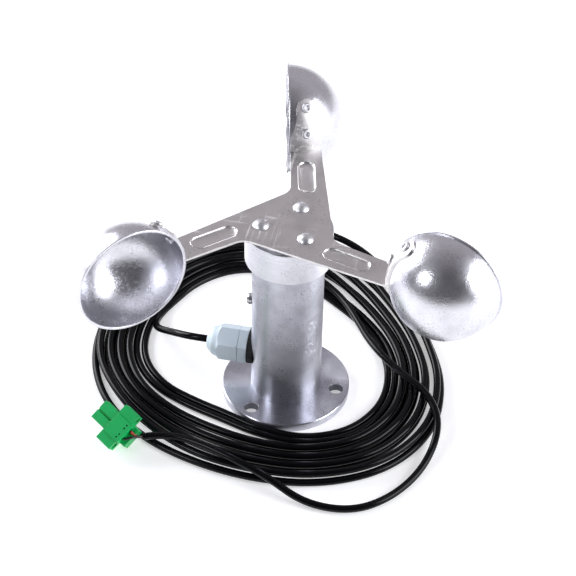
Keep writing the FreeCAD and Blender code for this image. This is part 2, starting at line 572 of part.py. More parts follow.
def make_spider():
    """Sheet spider: three arms with pressed ribs, and a tab wrapped on to each cup's back."""
    corners = []
    for arm in range(3):
        turn = THIRD * arm
        for along, behind in (("arm_reach", "arm_back"), ("arm_reach", "arm_front"),
                              ("notch_reach", "notch_front")):
            corners.append((f"Sizes.{along} * cos({turn}) + Sizes.{behind} * sin({turn})",
                            f"Sizes.{along} * sin({turn}) - Sizes.{behind} * cos({turn})"))
    plate = padded("plate_body", corners, "XY_Plane", "Sizes.plate_thick")
    DOC.recompute()
    pad = plate.Tip
    notch = size("notch_reach")
    inner_edges = []
    for number, edge in enumerate(pad.Shape.Edges, start=1):
        middle = edge.CenterOfMass
        upright = abs(edge.tangentAt(edge.FirstParameter).z) > 0.9
        if upright and math.hypot(middle.x, middle.y) < notch + 2:
            inner_edges.append(f"Edge{number}")
    fillet = plate.newObject("PartDesign::Fillet", "notch_fillets")
    fillet.Base = (pad, inner_edges)
    fillet.setExpression("Radius", "Sizes.notch_radius")
    plate.Tip = fillet
    bind(plate, spot(z="Sizes.plate_low"))

    top = "Sizes.plate_low + Sizes.plate_thick"
    channel = rib_tool("rib_channel", "Sizes.rib_wide - 2 * Sizes.rib_depth", "Sizes.rib_depth",
                       f"{top} - Sizes.rib_depth")
    swell = rib_tool("rib_swell", "Sizes.rib_wide", "Sizes.rib_depth", "Sizes.plate_low - Sizes.rib_depth")
    arms = [around(THIRD * arm) for arm in range(3)]
    pieces = [plate, copies("rib_swells", swell, arms), copies("tabs", make_tab(), arms)]
    bore = rod("plate_rivet_bore", "Sizes.rivet_shank", "Sizes.plate_thick", x="Sizes.rivet_circle / 2",
               z="Sizes.plate_low")
    rivet_turn = size("rivet_turn")
    bores = [around(THIRD * arm + rivet_turn) for arm in range(3)]
    room = solid("Sphere", "cup_room", {"Radius": "Sizes.cup_od / 2", **spot(
        "Sizes.cup_reach", "-Sizes.cup_depth_extra", "Sizes.cup_height")})
    tools = [copies("rib_channels", channel, arms), copies("plate_rivet_bores", bore, bores),
             copies("cup_rooms", room, arms)]
    for number, frame in enumerate(cup_rivet_frames(), start=1):
        hole = rod(f"tab_hole_{number}", "Sizes.cup_rivet_shank", "8", z="-4")
        tools.append(copies(f"tab_holes_{number}", hole, [arm.multiply(frame) for arm in arms]))
    spider = cut("spider_cut", join("spider_join", pieces), tools)
    spider.Placement = around(ROTOR_REST)
    node("spider", spider)


def rib_tool(name, wide, tall, z):
    """A round-ended bar along the first arm, for pressing or cutting its rib."""
    middle = "-Sizes.rib_back"
    bar = block(f"{name}_bar", "Sizes.rib_outer - Sizes.rib_inner", wide, tall,
                "Sizes.rib_inner", f"{middle} - ({wide}) / 2", z)
    ends = []
    for side, x in (("inner", "Sizes.rib_inner"), ("outer", "Sizes.rib_outer")):
        ends.append(rod(f"{name}_{side}", wide, tall, x=x, y=middle, z=z))
    return join(name, [bar, *ends])


def make_tab():
    """The first arm's tab: a lobed strip of a shell that fits the cup's back."""
    centre = spot("Sizes.cup_reach", "-Sizes.cup_depth_extra", "Sizes.cup_height")
    skin = solid("Sphere", "tab_skin", {"Radius": "Sizes.cup_od / 2 + Sizes.tab_thick", **centre})
    core = solid("Sphere", "tab_core", {"Radius": "Sizes.cup_od / 2", **centre})
    shell = cut("tab_shell", skin, [core])
    front = "Sizes.arm_front - Sizes.cup_depth_extra"
    back = "Sizes.arm_back - Sizes.cup_depth_extra"
    middle = "Sizes.rib_back - Sizes.cup_depth_extra"
    lobe_back, lobe_front = f"{middle} + Sizes.tab_lobe", f"{middle} - Sizes.tab_lobe"
    corners = [
        (front, "-Sizes.tab_root"), (back, "-Sizes.tab_root"), (back, "-Sizes.tab_shoulder"),
        (lobe_back, "-Sizes.tab_neck"), (lobe_back, "Sizes.tab_lobe_rise"),
        (lobe_front, "Sizes.tab_lobe_rise"), (lobe_front, "-Sizes.tab_neck"),
        (front, "-Sizes.tab_shoulder"),
    ]
    strip = padded("tab_strip", corners, "YZ_Plane", "Sizes.cup_od")
    lobe = rod("tab_lobe_rod", "Sizes.tab_lobe * 2", "Sizes.cup_od", Rotation(Y_AXIS, 90),
               y=middle, z="Sizes.tab_lobe_rise")
    prism = join("tab_prism", [strip, lobe])
    half_turn = Rotation(Z_AXIS, 180)
    prism.Placement = Placement(cup_centre(), Rotation(Y_AXIS, size("tab_tilt")).multiply(half_turn))
    return common("tab", shell, prism)


def make_cups():
    """Three hemispherical cups with a narrow lip, each with holes for its two rivets."""
    for arm in range(3):
        label = f"cup_{arm + 1}"
        wall = "Sizes.cup_od / 2"
        bowl = "Sizes.cup_od / 2 - Sizes.cup_wall"
        depth = "Sizes.cup_depth_extra"
        dome = solid("Sphere", f"{label}_dome", {"Radius": wall, **spot(z=f"-{depth}")})
        dome.Angle2 = 0
        band = rod(f"{label}_band", "Sizes.cup_od", depth, z=f"-{depth}")
        lip = rod(f"{label}_lip", "Sizes.cup_lip", "Sizes.lip_thick", z="-Sizes.lip_thick")
        hollow = solid("Sphere", f"{label}_hollow", {"Radius": bowl, **spot(z=f"-{depth}")})
        mouth = rod(f"{label}_mouth", f"({bowl}) * 2", depth, z=f"-{depth}")
        facing = Placement(Vector(size("cup_reach"), 0, size("cup_height")), Rotation(X_AXIS, -90))
        to_cup = facing.inverse()
        holes = []
        for number, frame in enumerate(cup_rivet_frames(), start=1):
            hole = rod(f"{label}_hole_{number}", "Sizes.cup_rivet_shank", "8", z="-4")
            holes.append(copies(f"{label}_hole_{number}_placed", hole, [to_cup.multiply(frame)]))
        cup = cut(f"{label}_cut", join(f"{label}_join", [dome, band, lip]), [hollow, mouth, *holes])
        cup.Placement = around(ROTOR_REST + THIRD * arm, facing)
        node(label, cup)


def make_cup_rivets():
    """Two rivets per cup, heads on the tab and tails inside the cup."""
    grip = "Sizes.tab_thick + Sizes.cup_wall + 1"
    rivet = domed_rivet("cup_rivet", "Sizes.cup_rivet_head", "Sizes.cup_rivet_rise",
                        "Sizes.cup_rivet_shank", grip, "Sizes.cup_rivet_tail")
    places = []
    for arm in range(3):
        for frame in cup_rivet_frames():
            places.append(around(ROTOR_REST + THIRD * arm, frame))
    node("cup_rivets", copies("cup_rivet_set", rivet, places))


# Gland ------------------------------------------------------------------------------------------

def make_gland():
    """Nylon cable gland: body, saddle washer, locknut, rubber seal and domed nut."""
    outward = Rotation(Y_AXIS, -90)
    seat = Placement(Vector(0, 0, size("gland_height")), outward)
    thread, bore, neck = "Sizes.gland_thread / 2", "Sizes.gland_bore / 2", "Sizes.gland_neck_dia / 2"
    stem = turned("gland_stem", [
        (bore, "Sizes.gland_inner"), (thread, "Sizes.gland_inner"), (thread, "Sizes.gland_neck"),
        (neck, "Sizes.gland_neck"), (neck, "Sizes.gland_neck_end"),
        ("Sizes.seal_dia / 2", "Sizes.gland_neck_end"), ("Sizes.seal_dia / 2", "Sizes.seal_inner"),
        (bore, "Sizes.seal_inner")])
    collar = cut("gland_collar_cut",
                 hexagon("gland_collar_hex", "Sizes.gland_across", "Sizes.gland_neck - Sizes.gland_collar",
                         z="Sizes.gland_collar"),
                 [rod("gland_collar_bore", "Sizes.gland_bore", "Sizes.gland_neck", z="0")])
    body = join("gland_body_join", [stem, collar])
    body.Placement = seat
    node("gland_body", body)

    disc = rod("washer_disc", "Sizes.washer_dia", "Sizes.gland_collar - Sizes.washer_root",
               z="Sizes.washer_root")
    washer_bore = rod("washer_bore", "Sizes.gland_thread", "Sizes.gland_collar", z="0")
    saddle = rod("washer_saddle", "Sizes.tube_od", "Sizes.washer_dia * 2", Rotation(Y_AXIS, 90),
                 x="-Sizes.washer_dia")
    washer = cut("washer_cut", disc, [washer_bore, saddle])
    washer.Placement = seat
    node("gland_washer", washer)

    nut = cut("locknut_cut", hexagon("locknut_hex", "Sizes.locknut_across",
                                     "Sizes.locknut_outer - Sizes.gland_inner", z="Sizes.gland_inner"),
              [rod("locknut_bore", "Sizes.gland_thread", "Sizes.locknut_outer", z="0")])
    nut.Placement = seat
    node("gland_locknut", nut)

    seal = turned("gland_seal_body", [
        ("Sizes.cable_dia / 2", "Sizes.seal_inner"), ("Sizes.seal_dia / 2", "Sizes.seal_inner"),
        ("Sizes.seal_dia / 2", "Sizes.gland_neck_end"), ("Sizes.seal_dia / 2 - 1.2", "Sizes.seal_outer"),
        ("Sizes.cable_dia / 2", "Sizes.seal_outer")], outward, z="Sizes.gland_height")
    node("gland_seal", seal)

    corner = "Sizes.gland_across / 2 / cos(30)"
    low = "Sizes.gland_neck + Sizes.gland_play"
    inside = "Sizes.gland_neck_dia / 2 + Sizes.gland_play / 2"
    skin = turned("nut_skin", [
        (inside, low), (f"{corner} - 0.6", low), (corner, f"{low} + 0.8"),
        (corner, "Sizes.nut_dome - 1.4"), ("Sizes.nut_dome_dia / 2", "Sizes.nut_dome"),
        ("Sizes.nut_dome_dia / 2 - 0.7", "Sizes.nut_dome + 2.4"),
        ("Sizes.nut_mouth / 2 + 1.3", "Sizes.gland_end"), ("Sizes.nut_mouth / 2", "Sizes.gland_end"),
        ("Sizes.nut_mouth / 2", "Sizes.seal_outer + 0.6"), (inside, "Sizes.seal_outer - 1.6")])
    prism = hexagon("nut_hex", "Sizes.gland_across", "Sizes.gland_end")
    dome_nut = common("nut_common", skin, prism)
    dome_nut.Placement = seat
    node("gland_nut", dome_nut)


# Cable ------------------------------------------------------------------------------------------

LEAD_ROUTE = [
    (-38.8, 0.0, 24.5), (-47.5, 0.0, 24.3), (-57.5, 6.0, 19.5), (-69.5, 17.5, 9.5), (-73.0, 28.5, 4.0),
    (-71.5, 39.0, 2.0),
]
TAIL_ROUTE = [
    (26.0, 50.0, 6.5), (37.0, 29.5, 9.8), (53.0, 13.5, 10.0), (71.0, 0.5, 10.0), (79.0, -17.0, 7.0),
    (75.5, -40.0, 2.1), (64.0, -62.0, 1.9), (47.0, -75.5, 1.9), (24.0, -75.5, 2.1), (5.0, -67.5, 7.4),
    (-14.0, -61.5, 10.2), (-34.0, -54.5, 10.0), (-49.0, -52.8, 8.4), (-57.6, -54.4, 6.7),
]
RED_ROUTE = [(-57.6, -54.1, 6.3), (-59.6, -55.6, 6.9), (-61.6, -56.9, 9.4), (-62.9, -57.1, 11.7)]
BLACK_ROUTE = [(-57.6, -54.8, 7.1), (-60.3, -57.1, 8.6), (-63.2, -59.3, 9.4), (-65.7, -60.4, 9.0)]
INNER_ROUTE = [(-7.8, 0.0, 24.5), (-0.5, 0.0, 24.5), (0.0, 0.0, 30.0)]


def tube_along(name, route, diameter):
    """A round tube along straight runs joined by tangent arcs, checked against its length."""
    points = [Vector(*point) for point in route]
    start = points[0]
    edges = []
    for before, corner, after in zip(points, points[1:], points[2:]):
        back, ahead = before - corner, after - corner
        half_turn = (math.pi - back.getAngle(ahead)) / 2
        reach = 0.45 * min(back.Length, ahead.Length)
        radius = reach / math.tan(half_turn)
        back.normalize()
        ahead.normalize()
        first, last = corner + back * reach, corner + ahead * reach
        inward = (back + ahead).normalize()
        hub = corner + inward * (radius / math.cos(half_turn))
        middle = hub - inward * radius
        edges.append(Part.LineSegment(start, first).toShape())
        edges.append(Part.Arc(first, middle, last).toShape())
        start = last
        print(f"{name}: bend radius {radius:.1f}")
    edges.append(Part.LineSegment(start, points[-1]).toShape())
    path = Part.Wire(edges)
    section = Part.Wire(Part.makeCircle(diameter / 2, points[0], points[1] - points[0]))
    tube = path.makePipeShell([section], True, False)
    expected = math.pi * diameter ** 2 / 4 * path.Length
    print(f"{name}: length {path.Length:.1f}, volume over section times length {tube.Volume / expected:.4f}")
    return tube


COIL_INNER = (59.5, ((1, 2.5, 146), (2, 8.9, 148), (3, 2.6, 89), (4, 1.4, 27)), -7.0)
COIL_OUTER = (88.2, ((1, 2.7, -17), (2, 5.1, 117), (3, 5.8, -30)), 5.4)
BULGE_AT, BULGE_SPREAD = 162, 34


def coil_radius(edge, angle):
    """An edge of the coil: a mean radius, waves given by count, height and a crest's direction, and a bulge
    on the side where the lead joins."""
    mean, waves, bulge = edge
    swell = sum(height * math.cos(count * (angle - math.radians(crest))) for count, height, crest in waves)
    off = (math.degrees(angle) - BULGE_AT + 180) % 360 - 180
    return mean + swell + bulge * math.exp(-(off / BULGE_SPREAD) ** 2)


def coil_slab(start, end, rise):
    """A closed band between two fractions of the coil's width, from the floor up to a height."""
    half = size("cable_dia") / 2
    edges = []
    for share, side in ((start, -half), (end, half)):
        points = []
        for index in range(24):
            angle = math.tau * index / 24
            inner = coil_radius(COIL_INNER, angle)
            radius = inner + share * (coil_radius(COIL_OUTER, angle) - inner) + side
            points.append(Vector(size("coil_x") + radius * math.cos(angle),
                                 size("coil_y") + radius * math.sin(angle), 0))
        curve = Part.BSplineCurve()
        curve.interpolate(points, PeriodicFlag=True)
        edges.append(Part.Wire(curve.toShape()))
    inner_face, outer_face = Part.Face(edges[0]), Part.Face(edges[1])
    return outer_face.cut(inner_face).extrude(Vector(0, 0, rise))


def make_cable(plug):
    """Cable: a straight stretch in the gland, the lead, the coil, the tail over it, and the bared cores."""
    node("gripped_cable", rod("gripped_rod", "Sizes.cable_dia", "Sizes.gland_end - Sizes.gland_inner",
                              Rotation(Y_AXIS, -90), x="-Sizes.gland_inner", z="Sizes.gland_height"))
    low = coil_slab(0, 1, size("coil_low_rise"))
    high = coil_slab(size("coil_high_start"), size("coil_high_end"), size("coil_high_rise"))
    coil = low.fuse(high).removeSplitter().cut(plug.Shape).cut(NODES["base_flange"].Shape)
    node("cable_coil", fixed_shape("coil_solid", max(coil.Solids, key=lambda part: part.Volume)))
    for label, route in (("cable_lead", LEAD_ROUTE), ("cable_tail", TAIL_ROUTE)):
        tube = tube_along(label, route, size("cable_dia")).cut(coil)
        node(label, fixed_shape(f"{label}_tube", max(tube.Solids, key=lambda part: part.Volume)))
    wires = []
    for side in (-0.5, 0.5):
        route = [(x, y + side * size("inner_wire_apart"), z) for x, y, z in INNER_ROUTE]
        wires.append(tube_along("inner_wires", route, size("inner_wire_dia")))
    node("inner_wires", fixed_shape("inner_wire_pair", Part.makeCompound(wires)))
    for label, route in (("red_core", RED_ROUTE), ("black_core", BLACK_ROUTE)):
        core = tube_along(label, route, size("core_dia")).cut(NODES["cable_tail"].Shape).cut(plug.Shape)
        node(label, fixed_shape(f"{label}_tube", max(core.Solids, key=lambda part: part.Volume)))


# Plug -------------------------------------------------------------------------------------------

def hung(name, wide, long, tall, y, drop):
    """A block centred across the plug that hangs below a drop from its top."""
    return block(name, wide, long, tall, f"-({wide}) / 2", y, f"-({drop}) - ({tall})")


def make_plug():
    """Two-pole flanged plug: housing, wire clamps and their screws, and the screws in its ears."""
    ahead = Rotation(X_AXIS, -90)
    front = "Sizes.plug_long / 2"
    ear_back = "Sizes.ear_ahead - Sizes.ear_long"
    body = hung("plug_body", "Sizes.plug_wide", "Sizes.plug_long", "Sizes.plug_tall", f"-{front}", "0")
    ears = hung("plug_ear_bar", "Sizes.plug_ears", "Sizes.ear_long", "Sizes.ear_tall", ear_back,
                "Sizes.ear_drop")
    nose = hung("plug_nose", "Sizes.nose_wide", "Sizes.nose_long", "Sizes.nose_tall", front,
                "Sizes.nose_drop")
    entry = hung("plug_entry", "Sizes.entry_wide", "Sizes.entry_long", "Sizes.entry_tall",
                 f"-{front} - Sizes.entry_long", "Sizes.entry_drop")
    tools = [hung("nose_groove_tool", "Sizes.nose_groove", "Sizes.nose_long", "Sizes.nose_groove", front,
                  "Sizes.nose_drop")]
    clamps, clamp_screws, ear_screws = [], [], []
    for number, side in enumerate((-1, 1), start=1):
        pole = f"{side} * Sizes.pole_pitch / 2"
        tools.append(rod(f"wire_hole_{number}", "Sizes.wire_hole", "Sizes.wire_deep", ahead, x=pole,
                         y=f"-{front}", z="-Sizes.wire_drop"))
        for place in (-1, 1):
            tools.append(block(f"window_{number}_{place + 2}", "Sizes.window", "Sizes.window", "1",
                               f"{pole} + {place} * Sizes.window_pitch / 2 - Sizes.window / 2",
                               "-Sizes.window_back - Sizes.window / 2", "-1"))
        clamp_size = ("Sizes.clamp_wide", "Sizes.clamp_long", "Sizes.clamp_tall")
        clamp_spot = (f"{pole} - Sizes.clamp_wide / 2", f"-{front} + Sizes.wire_deep",
                      "-Sizes.clamp_drop - Sizes.clamp_tall")
        tools.append(block(f"clamp_room_{number}", *clamp_size, *clamp_spot))
        clamps.append(block(f"clamp_{number}", *clamp_size, *clamp_spot))
        floor = "-Sizes.plug_tall"
        tools.append(rod(f"clamp_screw_hole_{number}", "Sizes.plug_screw_head", "2.4", x=pole, z=floor))
        clamp_screws.append(rod(f"clamp_screw_{number}", "Sizes.plug_screw_head", "2.0", x=pole,
                                z=f"{floor} + 0.4"))
        ear_x = f"{side} * (Sizes.plug_ears + Sizes.plug_wide) / 4"
        ear_z = "-Sizes.ear_drop - Sizes.ear_tall / 2"
        tools.append(rod(f"ear_hole_{number}", "Sizes.plug_screw_shank", "Sizes.ear_long", ahead,
                         x=ear_x, y=ear_back, z=ear_z))
        tools.append(rod(f"ear_sink_{number}", "Sizes.plug_screw_head + 0.6", "2.6", ahead, x=ear_x,
                         y=ear_back, z=ear_z))
        shank = rod(f"ear_screw_shank_{number}", "Sizes.plug_screw_shank", "Sizes.ear_long - 2.6",
                    ahead, x=ear_x, y=f"{ear_back} + 2.6", z=ear_z)
        head = rod(f"ear_screw_head_{number}", "Sizes.plug_screw_head", "1.8", ahead, x=ear_x,
                   y=f"{ear_back} + 0.8", z=ear_z)
        ear_screws.append(join(f"ear_screw_{number}", [shank, head]))
    housing = cut("plug_cut", join("plug_join", [body, ears, nose, entry]), tools)
    DOC.recompute()
    seat = Placement(Vector(size("plug_x"), size("plug_y"), size("plug_z")),
                     Rotation(size("plug_yaw"), size("plug_pitch"), size("plug_roll")))
    housing.Placement = seat
    node("terminal_plug", housing)
    for label, parts in (("plug_clamps", clamps), ("plug_clamp_screws", clamp_screws),
                         ("plug_ear_screws", ear_screws)):
        group = fixed_shape(f"{label}_group", Part.makeCompound([part.Shape for part in parts]))
        group.Placement = seat
        node(label, group)
    return housing


def main():
    """Build every sub-part, check them all and write one STEP file for each."""
    make_flange()
    make_tube()
    make_lock_screw()
    make_housing()
    make_bearings()
    make_board()
    make_slotted_disc()
    make_shaft()
    make_hub()
    make_hub_rivets()
    make_spider()
    make_cups()
    make_cup_rivets()
    make_gland()
    make_cable(make_plug())
    DOC.recompute()

    broken = [item.Label for item in DOC.Objects if {"Invalid", "Error"} & set(item.State)]
    if broken:
        raise RuntimeError(f"failed objects: {broken}")
    os.makedirs("parts", exist_ok=True)
    for label, item in NODES.items():
        shape = item.Shape
        if shape.isNull() or not shape.isValid() or not shape.Solids:
            raise RuntimeError(f"{label} has no valid solid")
        box = shape.BoundBox
        print(f"{label}: {len(shape.Solids)} solid(s), {shape.Volume:.1f} mm3, "
              f"x {box.XMin:.1f}..{box.XMax:.1f} y {box.YMin:.1f}..{box.YMax:.1f} "
              f"z {box.ZMin:.1f}..{box.ZMax:.1f}")
    for label, item in NODES.items():
        item.Shape.exportStep(f"parts/{label}.step")
    print(f"{len(NODES)} nodes")


main()
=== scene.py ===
"""Looks for the cup anemometer: finishes, smooth turned pieces, the cable and a plain studio."""

import json
import logging
import math
from dataclasses import dataclass, replace
from enum import Enum
from typing import Iterable, Sequence, Union

import bmesh
import bpy
from mathutils import Matrix, Vector


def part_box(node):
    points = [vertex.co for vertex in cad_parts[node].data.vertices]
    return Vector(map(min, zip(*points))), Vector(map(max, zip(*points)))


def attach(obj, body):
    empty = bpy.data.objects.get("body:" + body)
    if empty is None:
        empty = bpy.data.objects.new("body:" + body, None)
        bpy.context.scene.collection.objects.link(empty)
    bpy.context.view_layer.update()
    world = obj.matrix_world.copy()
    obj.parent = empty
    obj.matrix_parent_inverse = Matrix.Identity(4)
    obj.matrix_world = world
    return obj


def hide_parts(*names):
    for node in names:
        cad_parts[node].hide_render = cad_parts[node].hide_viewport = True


log = logging.getLogger("cup_anemometer")

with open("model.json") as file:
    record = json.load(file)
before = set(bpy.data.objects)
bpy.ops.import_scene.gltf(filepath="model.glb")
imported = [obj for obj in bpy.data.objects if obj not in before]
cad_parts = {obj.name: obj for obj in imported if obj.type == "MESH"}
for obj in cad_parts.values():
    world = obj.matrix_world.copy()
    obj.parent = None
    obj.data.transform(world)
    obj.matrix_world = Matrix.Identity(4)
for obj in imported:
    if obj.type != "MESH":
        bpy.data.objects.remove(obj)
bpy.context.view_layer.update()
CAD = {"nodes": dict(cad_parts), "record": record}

Point2 = tuple[float, float]
Point3 = tuple[float, float, float]
Colour = tuple[float, float, float, float]
Socket = bpy.types.NodeSocket
Value = Union[Socket, float]

RIM_SLOT = "cup_aluminium"
RIM_PLACE = "rim_place"
HOLED_SLOT = "polished_aluminium"
THIRD_TURN = math.tau / 3
ARM_AT_REST = math.radians(102.6)
BASE, ROTOR = "base", "rotor"
SAME_PLACE = 1e-7


# Finishes ------------------------------------------------------------------------------------


class Grain(Enum):
    """How the marks of making run over a surface."""

    TURNED = "turned"
    SHEET = "sheet"
    PEENED = "peened"
    MOULDED = "moulded"


@dataclass(frozen=True)
class Finish:
    """What one material looks like.

    Attributes:
        slot: Name of the record's material slot.
        colour: Base colour, linear RGBA.
        dark: The darker colour that shows in its stains, and as painted shade in the flange's bolt holes.
        metallic: 1 for metals, 0 for plastics and rubber.
        roughness: Lowest roughness.
        spread: How much rougher it gets in patches.
        grain: How its marks run.
        grain_scale: Marks per metre.
        grain_depth: Height of the marks, in metres.
        scratches: Share of scratch marks, 0 for none.
        edge: Radius that sharp edges catch light over, in metres.
        coat: Strength of a clear gloss over it.
        streak: How far its turning marks stretch what they reflect, 0 for not at all.
        shine: Strength of the clear reflection of plastics, 0.5 for most.
        ring_marks: How clearly the turning marks show as darker rings.
    """

    slot: str
    colour: Colour
    dark: Colour
    metallic: float = 0.0
    roughness: float = 0.4
    spread: float = 0.1
    grain: Grain = Grain.MOULDED
    grain_scale: float = 900.0
    grain_depth: float = 0.00001
    scratches: float = 0.0
    edge: float = 0.00025
    coat: float = 0.0
    streak: float = 0.0
    shine: float = 0.5
    ring_marks: float = 0.0


FINISHES = (
    Finish("polished_aluminium", (0.62, 0.625, 0.69, 1), (0.16, 0.16, 0.19, 1), 1.0, 0.29, 0.08,
           Grain.TURNED, 1500.0, 0.000010, 0.2, 0.0002, 0.0, 0.85, 0.5, 0.12),
    Finish("turned_aluminium", (0.84, 0.845, 0.90, 1), (0.45, 0.45, 0.47, 1), 1.0, 0.36, 0.10,
           Grain.TURNED, 2400.0, 0.00003, 0.15, 0.0002, 0.0, 0.6, 0.5, 0.5),
    Finish("satin_sheet", (0.80, 0.78, 0.78, 1), (0.45, 0.44, 0.44, 1), 1.0, 0.30, 0.10,
           Grain.SHEET, 1300.0, 0.00001, 0.35, 0.00035),
    Finish("cup_aluminium", (0.80, 0.80, 0.85, 1), (0.42, 0.42, 0.46, 1), 1.0, 0.24, 0.08,
           Grain.PEENED, 1700.0, 0.00004, 0.12),
    Finish("rivet_aluminium", (0.84, 0.84, 0.87, 1), (0.40, 0.40, 0.42, 1), 1.0, 0.38, 0.10,
           Grain.PEENED, 900.0, 0.00004, 0.15),
    Finish("bearing_steel", (0.55, 0.55, 0.56, 1), (0.30, 0.30, 0.31, 1), 1.0, 0.12, 0.06,
           Grain.TURNED, 3000.0, 0.000004, 0.0, 0.0001, 0.0, 0.4),
    Finish("screw_steel", (0.58, 0.58, 0.59, 1), (0.25, 0.25, 0.26, 1), 1.0, 0.24, 0.12,
           Grain.PEENED, 1800.0, 0.00001, 0.2),
    Finish("brass", (0.72, 0.52, 0.24, 1), (0.40, 0.27, 0.11, 1), 1.0, 0.25, 0.10,
           Grain.TURNED, 2400.0, 0.000008),
    Finish("cage_nylon", (0.66, 0.60, 0.46, 1), (0.55, 0.48, 0.35, 1), 0.0, 0.45, 0.10),
    Finish("board_laminate", (0.02, 0.16, 0.07, 1), (0.01, 0.09, 0.04, 1), 0.0, 0.30, 0.12,
           Grain.SHEET, 2500.0, 0.000008),
    Finish("black_plastic", (0.012, 0.012, 0.013, 1), (0.03, 0.03, 0.03, 1), 0.0, 0.38, 0.12),
    Finish("white_plastic", (0.78, 0.77, 0.72, 1), (0.62, 0.60, 0.54, 1), 0.0, 0.40, 0.10),
    Finish("capacitor_sleeve", (0.02, 0.03, 0.09, 1), (0.05, 0.06, 0.12, 1), 0.0, 0.30, 0.08),
    Finish("gland_nylon", (0.80, 0.92, 1.0, 1), (0.70, 0.84, 0.94, 1), 0.0, 0.30, 0.12,
           Grain.MOULDED, 700.0, 0.000015, 0.1, 0.0006),
    Finish("black_rubber", (0.006, 0.006, 0.007, 1), (0.02, 0.02, 0.02, 1), 0.0, 0.5, 0.15,
           Grain.MOULDED, 1500.0, 0.00002),
    Finish("cable_jacket", (0.002, 0.002, 0.003, 1), (0.004, 0.004, 0.005, 1), 0.0, 0.13, 0.06,
           Grain.MOULDED, 900.0, 0.000003, 0.0, 0.0002, 0.0, 0.0, 0.16),
    Finish("red_insulation", (0.45, 0.035, 0.02, 1), (0.30, 0.02, 0.01, 1), 0.0, 0.35, 0.10),
    Finish("black_insulation", (0.004, 0.004, 0.005, 1), (0.01, 0.01, 0.01, 1), 0.0, 0.32, 0.10),
    Finish("plug_green", (0.006, 0.50, 0.12, 1), (0.003, 0.34, 0.08, 1), 0.0, 0.34, 0.12,
           Grain.MOULDED, 1100.0, 0.000012, 0.1, 0.0003, 0.0, 0.0, 0.3),
)


@dataclass(frozen=True)
class Patches:
    """Noise and the part of it that shows.

    Attributes:
        scale: Patches per metre.
        octaves: How much finer noise is added.
        start: Noise that gives low.
        end: Noise that gives high.
        low: Value at start.
        high: Value at end.
    """

    scale: float
    octaves: float
    start: float
    end: float
    low: float = 0.0
    high: float = 1.0


STAINS = Patches(85.0, 5.0, 0.45, 0.80, 0.0, 0.45)
PITS = Patches(1500.0, 2.0, 0.60, 0.67, 0.0, 0.9)
PIT_CLUSTERS = Patches(75.0, 2.0, 0.46, 0.60)
ROUGH_AREAS = Patches(130.0, 4.0, 0.3, 0.75)
SCRATCHES = Patches(900.0, 1.0, 0.62, 0.67)
SCRATCHED_AREAS = Patches(60.0, 3.0, 0.45, 0.6)
RIM_TICKS = Patches(30.0, 1.0, 0.60, 0.66, 0.0, 3.0)
RIM_SECTORS = Patches(1.3, 0.0, 0.48, 0.54)


@dataclass(frozen=True)
class Run:
    """A direction that marks run in: a turn about Z in radians, then a stretch."""

    spin: float
    stretch: Point3


SHEET_RUN = Run(0.5, (1.0, 0.16, 1.0))
SCRATCH_RUNS = (Run(0.7, (1.0, 0.02, 1.0)), Run(-0.5, (0.03, 1.0, 1.0)))


@dataclass(frozen=True)
class BoltHoles:
    """The flange's bolt holes, whose walls get painted shade, in metres and degrees.

    Attributes:
        circle: Radius of the circle that they lie on.
        radius: Radius of a hole.
        turns: Where they lie.
        skin: Where the painted shade starts to fade and where it ends, outside a hole's wall.
        top: Heights between which the painted shade fades out.
    """

    circle: float = 0.025
    radius: float = 0.0035
    turns: tuple[float, ...] = (0.0, 120.0, 240.0)
    skin: Point2 = (0.0002, 0.0004)
    top: Point2 = (0.0036, 0.0040)


BOLT_HOLES = BoltHoles()


